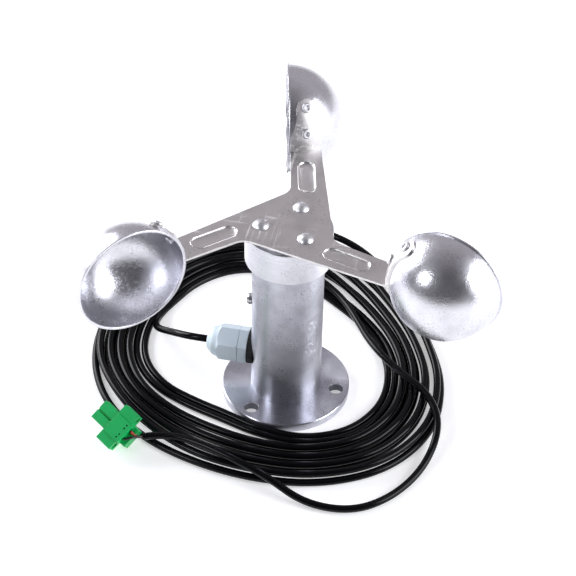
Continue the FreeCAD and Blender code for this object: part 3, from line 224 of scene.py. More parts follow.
class Shader:
    """One procedural material, built on Object coordinates."""

    SOFT, PLAIN, FINE = 2.0, 3.0, 4.0
    TILT = (0.3, 0.2)
    SWELL = 0.22
    RINGS = (0.45, 0.75)
    TICK_STRETCH = 60.0
    TICKS_FROM = (0.0012, 0.0020)
    TICKS_TO = (0.0045, 0.0070)
    BEVEL_SAMPLES = 6
    COAT_ROUGHNESS = 0.12
    QUARTER_TURN = 0.25

    def __init__(self, finish: Finish) -> None:
        """Makes the material.

        Args:
            finish: What it looks like.
        """
        self.finish = finish
        self.material = bpy.data.materials.new(finish.slot)
        self.material.use_nodes = True
        self.nodes = self.material.node_tree.nodes
        self.links = self.material.node_tree.links
        self.surface = self.nodes["Principled BSDF"]
        self.place = self.nodes.new("ShaderNodeTexCoord").outputs["Object"]
        marks = self._marks()
        self._colour(marks)
        self._wear(marks)
        self._gloss()

    def _node(self, kind: str, inputs: dict, **settings: object) -> bpy.types.Node:
        """Adds a node.

        Args:
            kind: The type of node.
            inputs: A socket to link or a constant to set, by the input's name or number.
            settings: The node's own settings.

        Returns:
            The node.
        """
        node = self.nodes.new(kind)
        for name, value in settings.items():
            setattr(node, name, value)
        for name, value in inputs.items():
            if isinstance(value, Socket):
                self.links.new(value, node.inputs[name])
            else:
                node.inputs[name].default_value = value
        return node

    def _math(self, operation: str, first: Value, second: Value) -> Socket:
        """Works out one operation on two values."""
        return self._node("ShaderNodeMath", {0: first, 1: second}, operation=operation).outputs[0]

    def _around_axis(self) -> Socket:
        """Gives coordinates that only change with height and with distance from the rotor's axis.

        Returns:
            The coordinates.
        """
        split = self._node("ShaderNodeSeparateXYZ", {"Vector": self.place}).outputs
        squares = [self._math("MULTIPLY", split[axis], split[axis]) for axis in ("X", "Y")]
        reach = self._math("POWER", self._math("ADD", *squares), 0.5)
        return self._node("ShaderNodeCombineXYZ", {"X": reach, "Z": split["Z"]}).outputs[0]

    def _stretched(self, run: Run) -> Socket:
        """Gives Object coordinates stretched along a run."""
        return self._node("ShaderNodeMapping", {
            "Vector": self.place, "Rotation": (*self.TILT, run.spin), "Scale": run.stretch}).outputs[0]

    def _noise(self, where: Socket, scale: float, octaves: float) -> Socket:
        """Gives smooth noise, about 0.5 on average."""
        return self._node("ShaderNodeTexNoise", {
            "Vector": where, "Scale": scale, "Detail": octaves}).outputs["Fac"]

    def _ramp(self, value: Socket, start: float, end: float, low: float = 0.0, high: float = 1.0) -> Socket:
        """Maps a range of a value to another, clamped.

        Args:
            value: The value.
            start: Value that gives low.
            end: Value that gives high.
            low: Result at start.
            high: Result at end.

        Returns:
            The result.
        """
        return self._node("ShaderNodeMapRange", {
            "Value": value, "From Min": start, "From Max": end, "To Min": low,
            "To Max": high}).outputs["Result"]

    def _patches(self, where: Socket, patches: Patches) -> Socket:
        """Gives patches of noise.

        Args:
            where: Coordinates of the noise.
            patches: Their scale and range.

        Returns:
            The value, from patches.low to patches.high.
        """
        noise = self._noise(where, patches.scale, patches.octaves)
        return self._ramp(noise, patches.start, patches.end, patches.low, patches.high)

    def _marks(self) -> Socket:
        """Gives the height of the marks of making.

        Returns:
            The height, about 0 to 1.
        """
        grain, scale = self.finish.grain, self.finish.grain_scale
        if grain is Grain.TURNED:
            return self._noise(self._around_axis(), scale, self.FINE)
        if grain is Grain.SHEET:
            return self._noise(self._stretched(SHEET_RUN), scale, self.FINE)
        if grain is Grain.PEENED:
            dents = self._node("ShaderNodeTexVoronoi", {"Vector": self.place, "Scale": scale},
                               feature="SMOOTH_F1").outputs["Distance"]
            return self._math("ADD", dents, self._noise(self.place, scale * self.SWELL, self.SOFT))
        return self._noise(self.place, scale, self.PLAIN)

    def _scratch_mask(self) -> Socket:
        """Gives fine straight scratches in two directions.

        Returns:
            1 on a scratch, else 0.
        """
        lines = [self._patches(self._stretched(run), SCRATCHES) for run in SCRATCH_RUNS]
        return self._math("MULTIPLY", self._math("MAXIMUM", *lines),
                          self._patches(self.place, SCRATCHED_AREAS))

    def _rim_ticks(self) -> Socket:
        """Gives short marks across the inside of a cup, just below its rim.

        Returns:
            Their depth, 0 to 3.
        """
        place = self._node("ShaderNodeAttribute", {}, attribute_name=RIM_PLACE).outputs["Vector"]
        fine = self._node("ShaderNodeMapping", {
            "Vector": place, "Scale": (1.0, 1.0, self.TICK_STRETCH)}).outputs[0]
        depth = self._node("ShaderNodeSeparateXYZ", {"Vector": place}).outputs["Z"]
        ticks = self._patches(fine, RIM_TICKS)
        for mask in (self._ramp(depth, *self.TICKS_FROM), self._ramp(depth, *self.TICKS_TO, 1.0, 0.0),
                     self._patches(place, RIM_SECTORS)):
            ticks = self._math("MULTIPLY", ticks, mask)
        return ticks

    def _painted_hole_shade(self) -> Socket:
        """Gives the painted shade that darkens the walls of the flange's bolt holes.

        Returns:
            1 on a wall, else 0.
        """
        flat = self._node("ShaderNodeMapping", {"Vector": self.place, "Scale": (1.0, 1.0, 0.0)}).outputs[0]
        height = self._node("ShaderNodeSeparateXYZ", {"Vector": self.place}).outputs["Z"]
        walls = []
        # painted shade: the colour is darkened within each hole's wall and fades out above the flange's top
        for turn in BOLT_HOLES.turns:
            angle = math.radians(turn)
            centre = (BOLT_HOLES.circle * math.cos(angle), BOLT_HOLES.circle * math.sin(angle), 0.0)
            away = self._node("ShaderNodeVectorMath", {0: flat, 1: centre},
                              operation="DISTANCE").outputs["Value"]
            near, far = (BOLT_HOLES.radius + skin for skin in BOLT_HOLES.skin)
            walls.append(self._ramp(away, near, far, 1.0, 0.0))
        shade = self._ramp(height, *BOLT_HOLES.top, 1.0, 0.0)
        both = self._math("MAXIMUM", walls[0], walls[1])
        return self._math("MULTIPLY", self._math("MAXIMUM", both, walls[2]), shade)

    def _colour(self, marks: Socket) -> None:
        """Wires the colour, with its stains, pits, rings and the painted shade in the flange's bolt holes.

        Args:
            marks: Height of the marks of making.
        """
        finish = self.finish
        pits = self._math("MULTIPLY", self._patches(self.place, PITS),
                          self._patches(self.place, PIT_CLUSTERS))
        stains_and_painted_shade = self._math("MAXIMUM", self._patches(self.place, STAINS), pits)
        # on the flange, painted shade on the bolt-hole walls, mixed in towards the dark colour like the
        # stains
        if finish.slot == HOLED_SLOT:
            stains_and_painted_shade = self._math("MAXIMUM", stains_and_painted_shade, self._painted_hole_shade())
        if finish.ring_marks:
            stains_and_painted_shade = self._math("MAXIMUM", stains_and_painted_shade, self._ramp(marks, *self.RINGS, 0.0, finish.ring_marks))
        mix = self._node("ShaderNodeMixRGB", {"Fac": stains_and_painted_shade, "Color1": finish.colour, "Color2": finish.dark})
        self.links.new(mix.outputs[0], self.surface.inputs["Base Color"])

    def _wear(self, marks: Socket) -> None:
        """Wires roughness and relief, with the scratches in both.

        Args:
            marks: Height of the marks of making.
        """
        finish = self.finish
        areas = replace(ROUGH_AREAS, low=finish.roughness, high=finish.roughness + finish.spread)
        rough, relief = self._patches(self.place, areas), marks
        if finish.slot == RIM_SLOT:
            relief = self._math("SUBTRACT", relief, self._rim_ticks())
        if finish.scratches:
            deep = self._math("MULTIPLY", self._scratch_mask(), finish.scratches)
            rough = self._math("ADD", rough, deep)
            relief = self._math("SUBTRACT", relief, deep)
        self.links.new(rough, self.surface.inputs["Roughness"])
        rounded = self._node("ShaderNodeBevel", {"Radius": finish.edge}, samples=self.BEVEL_SAMPLES)
        bump = self._node("ShaderNodeBump", {
            "Height": relief, "Distance": finish.grain_depth, "Normal": rounded.outputs[0],
            "Strength": 1.0})
        self.links.new(bump.outputs[0], self.surface.inputs["Normal"])

    def _gloss(self) -> None:
        """Sets what is the same all over the surface."""
        finish, inputs = self.finish, self.surface.inputs
        inputs["Metallic"].default_value = finish.metallic
        inputs["Specular IOR Level"].default_value = finish.shine
        inputs["Coat Weight"].default_value = finish.coat
        inputs["Coat Roughness"].default_value = self.COAT_ROUGHNESS
        if finish.streak:
            inputs["Anisotropic"].default_value = finish.streak
            inputs["Anisotropic Rotation"].default_value = self.QUARTER_TURN
            ring = self._node("ShaderNodeTangent", {}, direction_type="RADIAL", axis="Z")
            self.links.new(ring.outputs[0], inputs["Tangent"])


class Finishes:
    """The materials by slot, and which CAD node takes which."""

    def __init__(self) -> None:
        """Builds every finish once."""
        self.by_slot = {finish.slot: Shader(finish).material for finish in FINISHES}
        self.slot_of_node = {row["node"]: row["material_slot"] for row in CAD["record"]["subparts"]}

    def give(self, piece: bpy.types.Object, slot: str) -> None:
        """Gives a piece the material of a slot.

        Args:
            piece: A mesh or curve of the object.
            slot: Name of the slot.
        """
        piece.data.materials.clear()
        piece.data.materials.append(self.by_slot[slot])

    def give_cad_nodes(self) -> None:
        """Gives each CAD node the material of its own slot."""
        for name, piece in CAD["nodes"].items():
            self.give(piece, self.slot_of_node[name])


# Shaping -------------------------------------------------------------------------------------


def rounded_outline(corners: Sequence[Sequence[float]], steps: int = 5) -> list[Point2]:
    """Points of an outline whose corners may be rounded.

    Args:
        corners: (radius, height) or (radius, height, rounding) in order.
        steps: Segments in each rounding.

    Returns:
        The outline's points.
    """
    points: list[Point2] = []
    last = len(corners) - 1
    for index, corner in enumerate(corners):
        here = Vector(corner[:2])
        rounding = corner[2] if len(corner) > 2 else 0.0
        if not rounding or index in (0, last):
            points.append((here.x, here.y))
            continue
        back = (Vector(corners[index - 1][:2]) - here).normalized()
        ahead = (Vector(corners[index + 1][:2]) - here).normalized()
        half = back.angle(ahead) / 2
        reach = rounding / math.tan(half)
        hub = here + (back + ahead).normalized() * (rounding / math.sin(half))
        first, final = here + back * reach - hub, here + ahead * reach - hub
        sweep = first.angle_signed(final)
        for step in range(steps + 1):
            turned = first.copy()
            turned.rotate(Matrix.Rotation(-sweep * step / steps, 2))
            points.append(tuple(hub + turned))
    return points


def arc(centre: Point2, radius: float, start: float, end: float, steps: int) -> list[Point2]:
    """Points on an arc in the plane of an outline.

    Args:
        centre: The arc's centre.
        radius: Its radius.
        start: Angle of its first point, in degrees.
        end: Angle of its last point, in degrees.
        steps: Segments in it.

    Returns:
        The arc's points.
    """
    points = []
    for step in range(steps + 1):
        angle = math.radians(start + (end - start) * step / steps)
        points.append((centre[0] + radius * math.cos(angle), centre[1] + radius * math.sin(angle)))
    return points


def spun(mesh: bmesh.types.BMesh, outline: Iterable[Point2], place: Matrix, steps: int) -> None:
    """Adds an outline spun a full turn about Z to a mesh, then moved to its place.

    Args:
        mesh: The mesh to add to.
        outline: (radius, height) points.
        place: Where its own frame stands.
        steps: Segments around.
    """
    verts = [mesh.verts.new((radius, 0.0, height)) for radius, height in outline]
    edges = [mesh.edges.new(pair) for pair in zip(verts, verts[1:])]
    before = set(mesh.faces)
    bmesh.ops.spin(mesh, geom=verts + edges, cent=(0, 0, 0), axis=(0, 0, 1), angle=math.tau,
                   steps=steps, use_merge=True)
    fresh = [face for face in mesh.faces if face not in before]
    corners = list(dict.fromkeys(vert for face in fresh for vert in face.verts))
    bmesh.ops.remove_doubles(mesh, verts=corners, dist=SAME_PLACE)
    fresh = [face for face in mesh.faces if face not in before]
    bmesh.ops.recalc_face_normals(mesh, faces=fresh)
    corners = list(dict.fromkeys(vert for face in fresh for vert in face.verts))
    bmesh.ops.transform(mesh, matrix=place, verts=corners)


def finished(name: str, mesh: bmesh.types.BMesh, crease: float = 40.0) -> bpy.types.Object:
    """Turns a mesh into a smooth-shaded object at the origin.

    Args:
        name: The piece's name.
        mesh: Its shape, in the frame.
        crease: Edges sharper than this many degrees stay crisp.

    Returns:
        The object.
    """
    for face in mesh.faces:
        face.smooth = True
    for edge in mesh.edges:
        if len(edge.link_faces) == 2 and edge.calc_face_angle(0.0) > math.radians(crease):
            edge.smooth = False
    data = bpy.data.meshes.new(name)
    mesh.to_mesh(data)
    mesh.free()
    piece = bpy.data.objects.new(name, data)
    bpy.context.scene.collection.objects.link(piece)
    weighted = piece.modifiers.new("face_weighted", "WEIGHTED_NORMAL")
    weighted.keep_sharp = True
    return piece


def axis_frame(origin: Vector, axis: Vector) -> Matrix:
    """A frame at origin whose Z points along axis."""
    return Matrix.Translation(origin) @ axis.to_track_quat("Z", "Y").to_matrix().to_4x4()


# Rotor ---------------------------------------------------------------------------------------


@dataclass(frozen=True)
class HubSizes:
    """The turned hub, in metres, besides what the frame gives."""

    boss: float = 0.0180
    stem: float = 0.0048
    recess: float = 0.0177
    step: float = 0.0013
    roof: float = 0.0925
    seat: float = 0.086
    recess_round: float = 0.0006
    rim_round: float = 0.0004
    shoulder_round: float = 0.0005
    small_round: float = 0.0002
    segments: int = 160


@dataclass(frozen=True)
class HubRivetSizes:
    """A domed rivet through the spider, in metres and degrees."""

    circle: float = 0.013
    turn: float = -26.2
    head: float = 0.0039
    rise: float = 0.0022
    shank: float = 0.002
    edge: float = 0.00012
    undercut: float = 0.0001
    dome_share: float = 0.97
    dome_steps: int = 14
    segments: int = 48


@dataclass(frozen=True)
class RibSizes:
    """The pressed rib of an arm, in metres.

    Attributes:
        inner: Reach of its inner end's centre from the rotor's axis.
        outer: Reach of its outer end's centre.
        behind: How far it lies behind the arm's radius.
        top: Height of the sheet.
        half: Half the trough's width.
        depth: The trough's depth.
        fullness: 1 for a round trough, less for a flatter one.
        skirt: (reach, rise) points of its underside and outer edge.
        lip: Centre of the soft lip round the trough.
        lip_round: Radius of the lip.
        lip_steps: Segments in the lip.
        end_steps: Segments round each end.
        wall_from: Angle of the trough's first point below its edge, in degrees.
        wall_step: Degrees between its points.
        wall_points: Points from its edge to its floor.
    """

    inner: float = 0.027
    outer: float = 0.042
    behind: float = 0.0089
    top: float = 0.1043
    half: float = 0.0039
    depth: float = 0.0011
    fullness: float = 0.8
    skirt: tuple[Point2, ...] = ((0.0030, -0.0016), (0.0044, -0.0008), (0.0044, -0.0001))
    lip: Point2 = (0.00415, -0.00004)
    lip_round: float = 0.00022
    lip_steps: int = 6
    end_steps: int = 14
    wall_from: float = 4.0
    wall_step: float = 8.0
    wall_points: int = 11

    def section(self) -> list[Point2]:
        """Gives half of the rib's section, from its underside over the lip into the trough.

        Returns:
            (reach, rise) points.
        """
        points = [*self.skirt, *arc(self.lip, self.lip_round, 20.0, 160.0, self.lip_steps)]
        for step in range(self.wall_points):
            angle = math.radians(self.wall_from + self.wall_step * step)
            points.append((self.half * math.cos(angle) ** self.fullness, -self.depth * math.sin(angle)))
        return points


@dataclass(frozen=True)
class CupSizes:
    """A hemispherical cup, in metres."""

    reach: float = 0.0805
    height: float = 0.1045
    radius: float = 0.0261
    wall: float = 0.0008
    lip: float = 0.0268
    lip_thick: float = 0.0009
    lip_flare: float = 0.00035
    lip_drop: float = 0.0005
    lip_round: float = 0.0003
    small_round: float = 0.00003
    inner_round: float = 0.0002
    extra_depth: float = 0.0008
    dome_steps: int = 56
    lip_steps: int = 4
    segments: int = 144


@dataclass(frozen=True)
class CupRivetSizes:
    """A hollow-headed rivet that holds a cup to its tab, in metres."""

    lifts: tuple[float, float] = (20.0, 47.0)
    behind: float = 0.0089
    skin: float = 0.0273
    head: float = 0.0025
    rise: float = 0.0012
    hollow: float = 0.00115
    shank: float = 0.0012
    grip: float = 0.003
    tail: float = 0.002
    tail_rise: float = 0.0008
    head_round: float = 0.00095
    head_seat: float = 0.00025
    mouth_share: float = 0.8
    mouth_rise: float = 0.00015
    cone: float = 0.0001
    cone_share: float = 0.86
    brim: float = 0.0003
    dip: float = 0.0002
    tail_round: float = 0.0004
    round_steps: int = 8
    segments: int = 40


@dataclass
class Rotor:
    """Everything smooth on the rotor: hub, its rivets, ribs, the three cups and their rivets."""

    finishes: Finishes
    hub_size: HubSizes = HubSizes()
    hub_rivet: HubRivetSizes = HubRivetSizes()
    rib: RibSizes = RibSizes()
    cup: CupSizes = CupSizes()
    rivet: CupRivetSizes = CupRivetSizes()

    def _dress(self, piece: bpy.types.Object, slot: str, *nodes: str) -> bpy.types.Object:
        """Paints a piece, hangs it on the rotor and hides the nodes it stands for.

        Args:
            piece: The finished piece.
            slot: Name of its material slot.
            nodes: CAD nodes that it stands for.

        Returns:
            The piece.
        """
        self.finishes.give(piece, slot)
        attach(piece, ROTOR)
        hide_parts(*nodes)
        return piece

    def _arm(self, number: int) -> Matrix:
        """Gives the frame of an arm, with the arm along its X."""
        return Matrix.Rotation(ARM_AT_REST + THIRD_TURN * number, 4, "Z")

    def hub(self) -> bpy.types.Object:
        """Makes the turned hub with its recess, stem and boss.

        Returns:
            The piece.
        """
        size = self.hub_size
        low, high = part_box("rotor_hub")
        shaft_low, shaft_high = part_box("rotor_shaft")
        rim, bore = high.x, (shaft_high.x - shaft_low.x) / 2
        shoulder = high.z - size.step
        outline = rounded_outline([
            (bore, shaft_high.z), (bore, size.seat), (size.stem, size.seat), (size.stem, size.roof),
            (size.recess, size.roof, size.recess_round), (size.recess, low.z, size.small_round),
            (rim, low.z, size.rim_round), (rim, shoulder, size.shoulder_round),
            (size.boss, shoulder, size.small_round), (size.boss, high.z, size.small_round),
            (0.0, high.z)])
        outline.append((0.0, shaft_high.z))
        mesh = bmesh.new()
        spun(mesh, outline, Matrix.Identity(4), size.segments)
        return self._dress(finished("hub_turned", mesh), "turned_aluminium", "rotor_hub")

    def hub_rivets(self) -> bpy.types.Object:
        """Makes the three domed rivets through the spider.

        Returns:
            The piece.
        """
        size = self.hub_rivet
        low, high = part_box("hub_rivets")
        ball = (size.rise ** 2 + size.head ** 2) / (2 * size.rise)
        opening = math.degrees(math.asin(size.head / ball))
        top = high.z - size.rise
        outline = arc((0.0, size.rise - ball), ball, 90.0, 90.0 - opening * size.dome_share,
                      size.dome_steps)
        outline += [(size.head, size.edge), (size.head - size.undercut, 0.0), (size.shank, 0.0),
                    (size.shank, low.z - top), (0.0, low.z - top)]
        turn = Matrix.Rotation(math.radians(size.turn), 4, "Z")
        mesh = bmesh.new()
        for number in range(3):
            place = self._arm(number) @ turn @ Matrix.Translation((size.circle, 0, top))
            spun(mesh, outline, place, size.segments)
        return self._dress(finished("hub_rivets_domed", mesh), "rivet_aluminium", "hub_rivets")

    def _rib_ring(self, mesh: bmesh.types.BMesh, arm: Matrix, reach: float, rise: float) -> list:
        """Adds one long ring round a rib to a mesh.

        Args:
            mesh: The mesh to add to.
            arm: The arm's frame.
            reach: The ring's distance from the rib's middle line.
            rise: Its height above the sheet.

        Returns:
            The ring's edges.
        """
        rib = self.rib
        outline = arc((rib.outer, -rib.behind), reach, -90.0, 90.0, rib.end_steps)
        outline += arc((rib.inner, -rib.behind), reach, 90.0, 270.0, rib.end_steps)
        verts = [mesh.verts.new(arm @ Vector((x, y, rib.top + rise))) for x, y in outline]
        return [mesh.edges.new(pair) for pair in zip(verts, verts[1:] + verts[:1])]

    def ribs(self) -> bpy.types.Object:
        """Makes the pressed rib of each arm: a round trough with soft edges.

        Returns:
            The piece.
        """
        mesh = bmesh.new()
        for number in range(3):
            before = set(mesh.faces)
            rings = [self._rib_ring(mesh, self._arm(number), reach, rise)
                     for reach, rise in self.rib.section()]
            for low, high in zip(rings, rings[1:]):
                bmesh.ops.bridge_loops(mesh, edges=low + high)
            for end in (rings[0], rings[-1]):
                bmesh.ops.contextual_create(mesh, geom=end)
            fresh = [face for face in mesh.faces if face not in before]
            bmesh.ops.recalc_face_normals(mesh, faces=fresh)
        return self._dress(finished("ribs_pressed", mesh), "satin_sheet")

    def cups(self) -> list[bpy.types.Object]:
        """Makes the three cups, each a thin bowl with a rolled-looking lip.

        Returns:
            The pieces.
        """
        size = self.cup
        bowl, depth = size.radius - size.wall, -size.extra_depth
        outline = arc((0.0, depth), size.radius, -90.0, 0.0, size.dome_steps)
        outline += rounded_outline([
            (size.radius, depth), (size.radius, -size.lip_thick, size.small_round),
            (size.lip, -size.lip_thick, size.lip_round), (size.lip, 0.0, size.lip_round),
            (bowl + size.lip_flare, 0.0, size.inner_round), (bowl, -size.lip_drop)],
            size.lip_steps)[1:]
        outline += arc((0.0, depth), bowl, 0.0, -90.0, size.dome_steps)
        facing = Matrix.Rotation(-math.pi / 2, 4, "X")
        cups = []
        for number in range(3):
            place = self._arm(number) @ Matrix.Translation((size.reach, 0, size.height)) @ facing
            mesh = bmesh.new()
            spun(mesh, outline, place, size.segments)
            name = f"cup_{number + 1}"
            piece = finished(f"{name}_spun", mesh)
            self._mark_rim(piece, place.inverted(), bowl)
            cups.append(self._dress(piece, RIM_SLOT, name))
        return cups

    def _mark_rim(self, piece: bpy.types.Object, to_cup: Matrix, bowl: float) -> None:
        """Stores the direction from a cup's axis and the depth below its rim, inside only.

        Args:
            piece: The cup.
            to_cup: From the frame to the cup's own frame.
            bowl: Radius of its inside.
        """
        marks = piece.data.attributes.new(RIM_PLACE, "FLOAT_VECTOR", "POINT")
        middle = bowl + self.cup.wall / 2
        for vert, mark in zip(piece.data.vertices, marks.data):
            own = to_cup @ vert.co
            flat = Vector((own.x, own.y, 0.0))
            inside = Vector((own.x, own.y, own.z + self.cup.extra_depth)).length < middle
            side = flat.normalized() if flat.length > 0 else flat
            mark.vector = (side.x, side.y, -own.z if inside else 0.0)

    def _rivet_frames(self) -> list[Matrix]:
        """Gives the frames of a cup's two rivets, in an arm's own frame.

        Returns:
            The frames, whose Z points out of the cup.
        """
        size, cup = self.rivet, self.cup
        sideways = (size.behind - cup.extra_depth) / size.skin
        ahead = math.sqrt(1 - sideways ** 2)
        centre = Vector((cup.reach, -cup.extra_depth, cup.height))
        frames = []
        for lift in size.lifts:
            up = math.radians(lift)
            out = Vector((-ahead * math.cos(up), -sideways, ahead * math.sin(up)))
            frames.append(axis_frame(centre + out * size.skin, out))
        return frames

    def cup_rivets(self) -> bpy.types.Object:
        """Makes the two ring-headed rivets on each tab, with their tails inside the cup.

        Returns:
            The piece.
        """
        size = self.rivet
        outline = [(0.0, -size.dip), (size.hollow * size.mouth_share, -size.dip),
                   (size.hollow, size.mouth_rise), (size.hollow + size.cone, size.rise * size.cone_share),
                   (size.hollow + size.brim, size.rise)]
        outline += arc((size.head - size.head_round, size.head_seat), size.head_round, 84.0, 8.0,
                       size.round_steps)
        outline += [(size.head, 0.0), (size.shank, 0.0), (size.shank, -size.grip + size.tail_rise)]
        outline += arc((size.tail - size.tail_round, -size.grip + size.tail_round), size.tail_round,
                       90.0, -90.0, size.round_steps)
        outline += [(size.tail_round, -size.grip), (0.0, -size.grip + size.dip)]
        mesh = bmesh.new()
        for number in range(3):
            for frame in self._rivet_frames():
                spun(mesh, outline, self._arm(number) @ frame, size.segments)
        return self._dress(finished("cup_rivets_set", mesh), "rivet_aluminium", "cup_rivets")

    def build(self) -> list[bpy.types.Object]:
        """Makes every piece of the rotor."""
        return [self.hub(), self.hub_rivets(), self.ribs(), *self.cups(), self.cup_rivets()]


# Cable ---------------------------------------------------------------------------------------


def off_by(angle: float, middle: float) -> float:
    """Degrees from a middle, given in degrees, to an angle, given in radians."""
    return (math.degrees(angle) - middle + 180) % 360 - 180


@dataclass(frozen=True)
class Edge:
    """An edge of the coil seen from above: a mean radius, waves and a bulge beside the lead.

    Attributes:
        mean: Mean radius.
        waves: (count, height, direction of a crest in degrees) of each wave.
        bulge: Height of the bulge.
        bulge_at: Its direction, in degrees.
        bulge_spread: How wide it is, in degrees.
    """

    mean: float
    waves: tuple[tuple[int, float, float], ...]
    bulge: float
    bulge_at: float = 162.0
    bulge_spread: float = 34.0

    def radius(self, angle: float) -> float:
        """Gives the edge's distance from the coil's centre.

        Args:
            angle: Direction from the centre, in radians.

        Returns:
            The distance.
        """
        off = off_by(angle, self.bulge_at)
        total = self.mean + self.bulge * math.exp(-(off / self.bulge_spread) ** 2)
        for count, height, crest in self.waves:
            total += height * math.cos(count * (angle - math.radians(crest)))
        return total


def eased(start: float, end: float, value: float) -> float:
    """0 before start, 1 after end, and a smooth rise between them."""
    share = min(1.0, max(0.0, (value - start) / (end - start)))
    return share * share * (3 - 2 * share)


@dataclass(frozen=True)
class CoilSizes:
    """The loose coil of cable on the floor, in metres and degrees.

    Attributes:
        centre: The coil's centre.
        inner: Its inner edge.
        outer: Its outer edge.
        pitch: Distance between turns that touch.
        start: Direction where the coil starts.
        end: Direction where it ends.
        points_per_turn: Points in one turn.
        low_shares: Share of the slack inside each turn on the floor, from the inside out.
        high_shares: The same for the turns on top, from the outside in.
        low_fan: Phase and strength of how the low turns fan out.
        high_fan: The same for the high turns.
        low_height: Height of the low turns.
        high_height: Height of the high turns.
        gather: How closely the outer turns lie together beside a stray one.
        gather_at: Direction where they do.
        gather_spread: How wide that place is.
        low_kept: The low turn inside which nothing is gathered.
        high_kept: The same for the high turns.
        high_inset: Distance of the innermost high turn from the inner edge.
        high_room: Space that the high turns leave free.
        shift: Part of a turn over which the cable moves over to the next one.
        climb: Part of a turn over which it climbs on to the low turns.
        top_shift: Part of a turn over which it then moves over.
    """

    centre: Point2 = (-0.0134, 0.0219)
    inner: Edge = Edge(
        0.0602, ((1, 0.0025, 146), (2, 0.0089, 148), (3, 0.0026, 89), (4, 0.0014, 27)), -0.0032)
    outer: Edge = Edge(0.0882, ((1, 0.0027, -17), (2, 0.0051, 117), (3, 0.0058, -30)), 0.0054)
    pitch: float = 0.00375
    start: float = 178.0
    end: float = 55.0
    points_per_turn: int = 18
    low_shares: tuple[float, ...] = (0.0, 0.03, 0.36, 0.52, 0.66, 1.0)
    high_shares: tuple[float, ...] = (1.0, 0.74, 0.52, 0.34, 0.0)
    low_fan: Point2 = (2.2, 0.45)
    high_fan: Point2 = (0.3, 0.5)
    low_height: float = 0.0018
    high_height: float = 0.00555
    gather: float = 0.92
    gather_at: float = -137.0
    gather_spread: float = 15.0
    low_kept: int = 2
    high_kept: int = 3
    high_inset: float = 0.0010
    high_room: float = 0.0030
    shift: Point2 = (0.05, 0.42)
    climb: Point2 = (0.0, 0.24)
    top_shift: Point2 = (0.24, 0.5)


class Coil:
    """Six turns on the floor from the inside out, then the turns on top of them, coming back in."""

    def __init__(self, sizes: CoilSizes) -> None:
        """Keeps the coil's sizes."""
        self.sizes = sizes

    @staticmethod
    def _fanned(share: float, angle: float, fan: Point2) -> float:
        """Gives a turn's share of the slack, which grows and shrinks on its way round."""
        return share ** (1 + fan[1] * math.sin(angle + fan[0])) if share > 0 else 0.0

    def _gathered(self, share: float, kept: float, angle: float) -> float:
        """Draws in the turns that lie outside the kept one, where they are gathered.

        Args:
            share: The turn's share of the slack.
            kept: Share of the kept turn.
            angle: Direction from the coil's centre, in radians.

        Returns:
            The turn's new share.
        """
        sizes = self.sizes
        off = off_by(angle, sizes.gather_at) / sizes.gather_spread
        return share - sizes.gather * math.exp(-off ** 2) * max(0.0, share - kept)

    def _low(self, turn: int, angle: float, width: float) -> float:
        """Tells how far a turn on the floor lies outside the inner edge.

        Args:
            turn: Its number, from the inside.
            angle: Direction from the coil's centre, in radians.
            width: The coil's width there.

        Returns:
            The distance.
        """
        sizes = self.sizes
        last = len(sizes.low_shares) - 1
        share = self._fanned(sizes.low_shares[turn], angle, sizes.low_fan)
        if turn < last:
            kept = self._fanned(sizes.low_shares[sizes.low_kept], angle, sizes.low_fan)
            share = self._gathered(share, kept, angle)
        return turn * sizes.pitch + share * (width - last * sizes.pitch)

    def _high(self, turn: int, angle: float, width: float) -> float:
        """Tells how far a turn on top lies outside the inner edge.

        Args:
            turn: Its number, from the outside.
            angle: Direction from the coil's centre, in radians.
            width: The coil's width there.

        Returns:
            The distance.
        """
        sizes = self.sizes
        last = len(sizes.high_shares) - 1
        slack = width - last * sizes.pitch - sizes.high_room
        kept = self._fanned(sizes.high_shares[sizes.high_kept], angle, sizes.high_fan)
        share = self._gathered(self._fanned(sizes.high_shares[turn], angle, sizes.high_fan), kept, angle)
        return sizes.high_inset + (last - turn) * sizes.pitch + share * slack

    def _point(self, turns: float) -> Point3:
        """Gives the cable's place.

        Args:
            turns: How many turns it has made.

        Returns:
            The place, in the frame.
        """
        sizes = self.sizes
        angle = math.radians(sizes.start) - math.tau * turns
        whole = int(turns)
        part = turns - whole
        inner = sizes.inner.radius(angle)
        width = sizes.outer.radius(angle) - inner
        low_count = len(sizes.low_shares)
        blend = eased(*sizes.shift, part)
        height = sizes.high_height
        if whole < low_count:
            here = self._low(whole, angle, width)
            before = self._low(whole - 1, angle, width) if whole else -sizes.pitch
            height = sizes.low_height
        elif whole == low_count:
            here = self._high(0, angle, width)
            before = self._low(low_count - 1, angle, width)
            blend = eased(*sizes.top_shift, part)
            climbed = eased(*sizes.climb, part)
            height = sizes.low_height + (sizes.high_height - sizes.low_height) * climbed
        else:
            turn = min(whole - low_count, len(sizes.high_shares) - 1)
            here = self._high(turn, angle, width)
            before = self._high(turn - 1, angle, width)
        reach = inner + before + (here - before) * blend
        return (sizes.centre[0] + reach * math.cos(angle), sizes.centre[1] + reach * math.sin(angle), height)

    def points(self) -> list[Point3]:
        """Gives the coil's points, after the one that the lead already has.

        Returns:
            The points, in the frame.
        """
        sizes = self.sizes
        total = len(sizes.low_shares) + len(sizes.high_shares) - 1 + (sizes.start - sizes.end) / 360
        count = int(total * sizes.points_per_turn)
        return [self._point(total * index / count) for index in range(1, count + 1)]


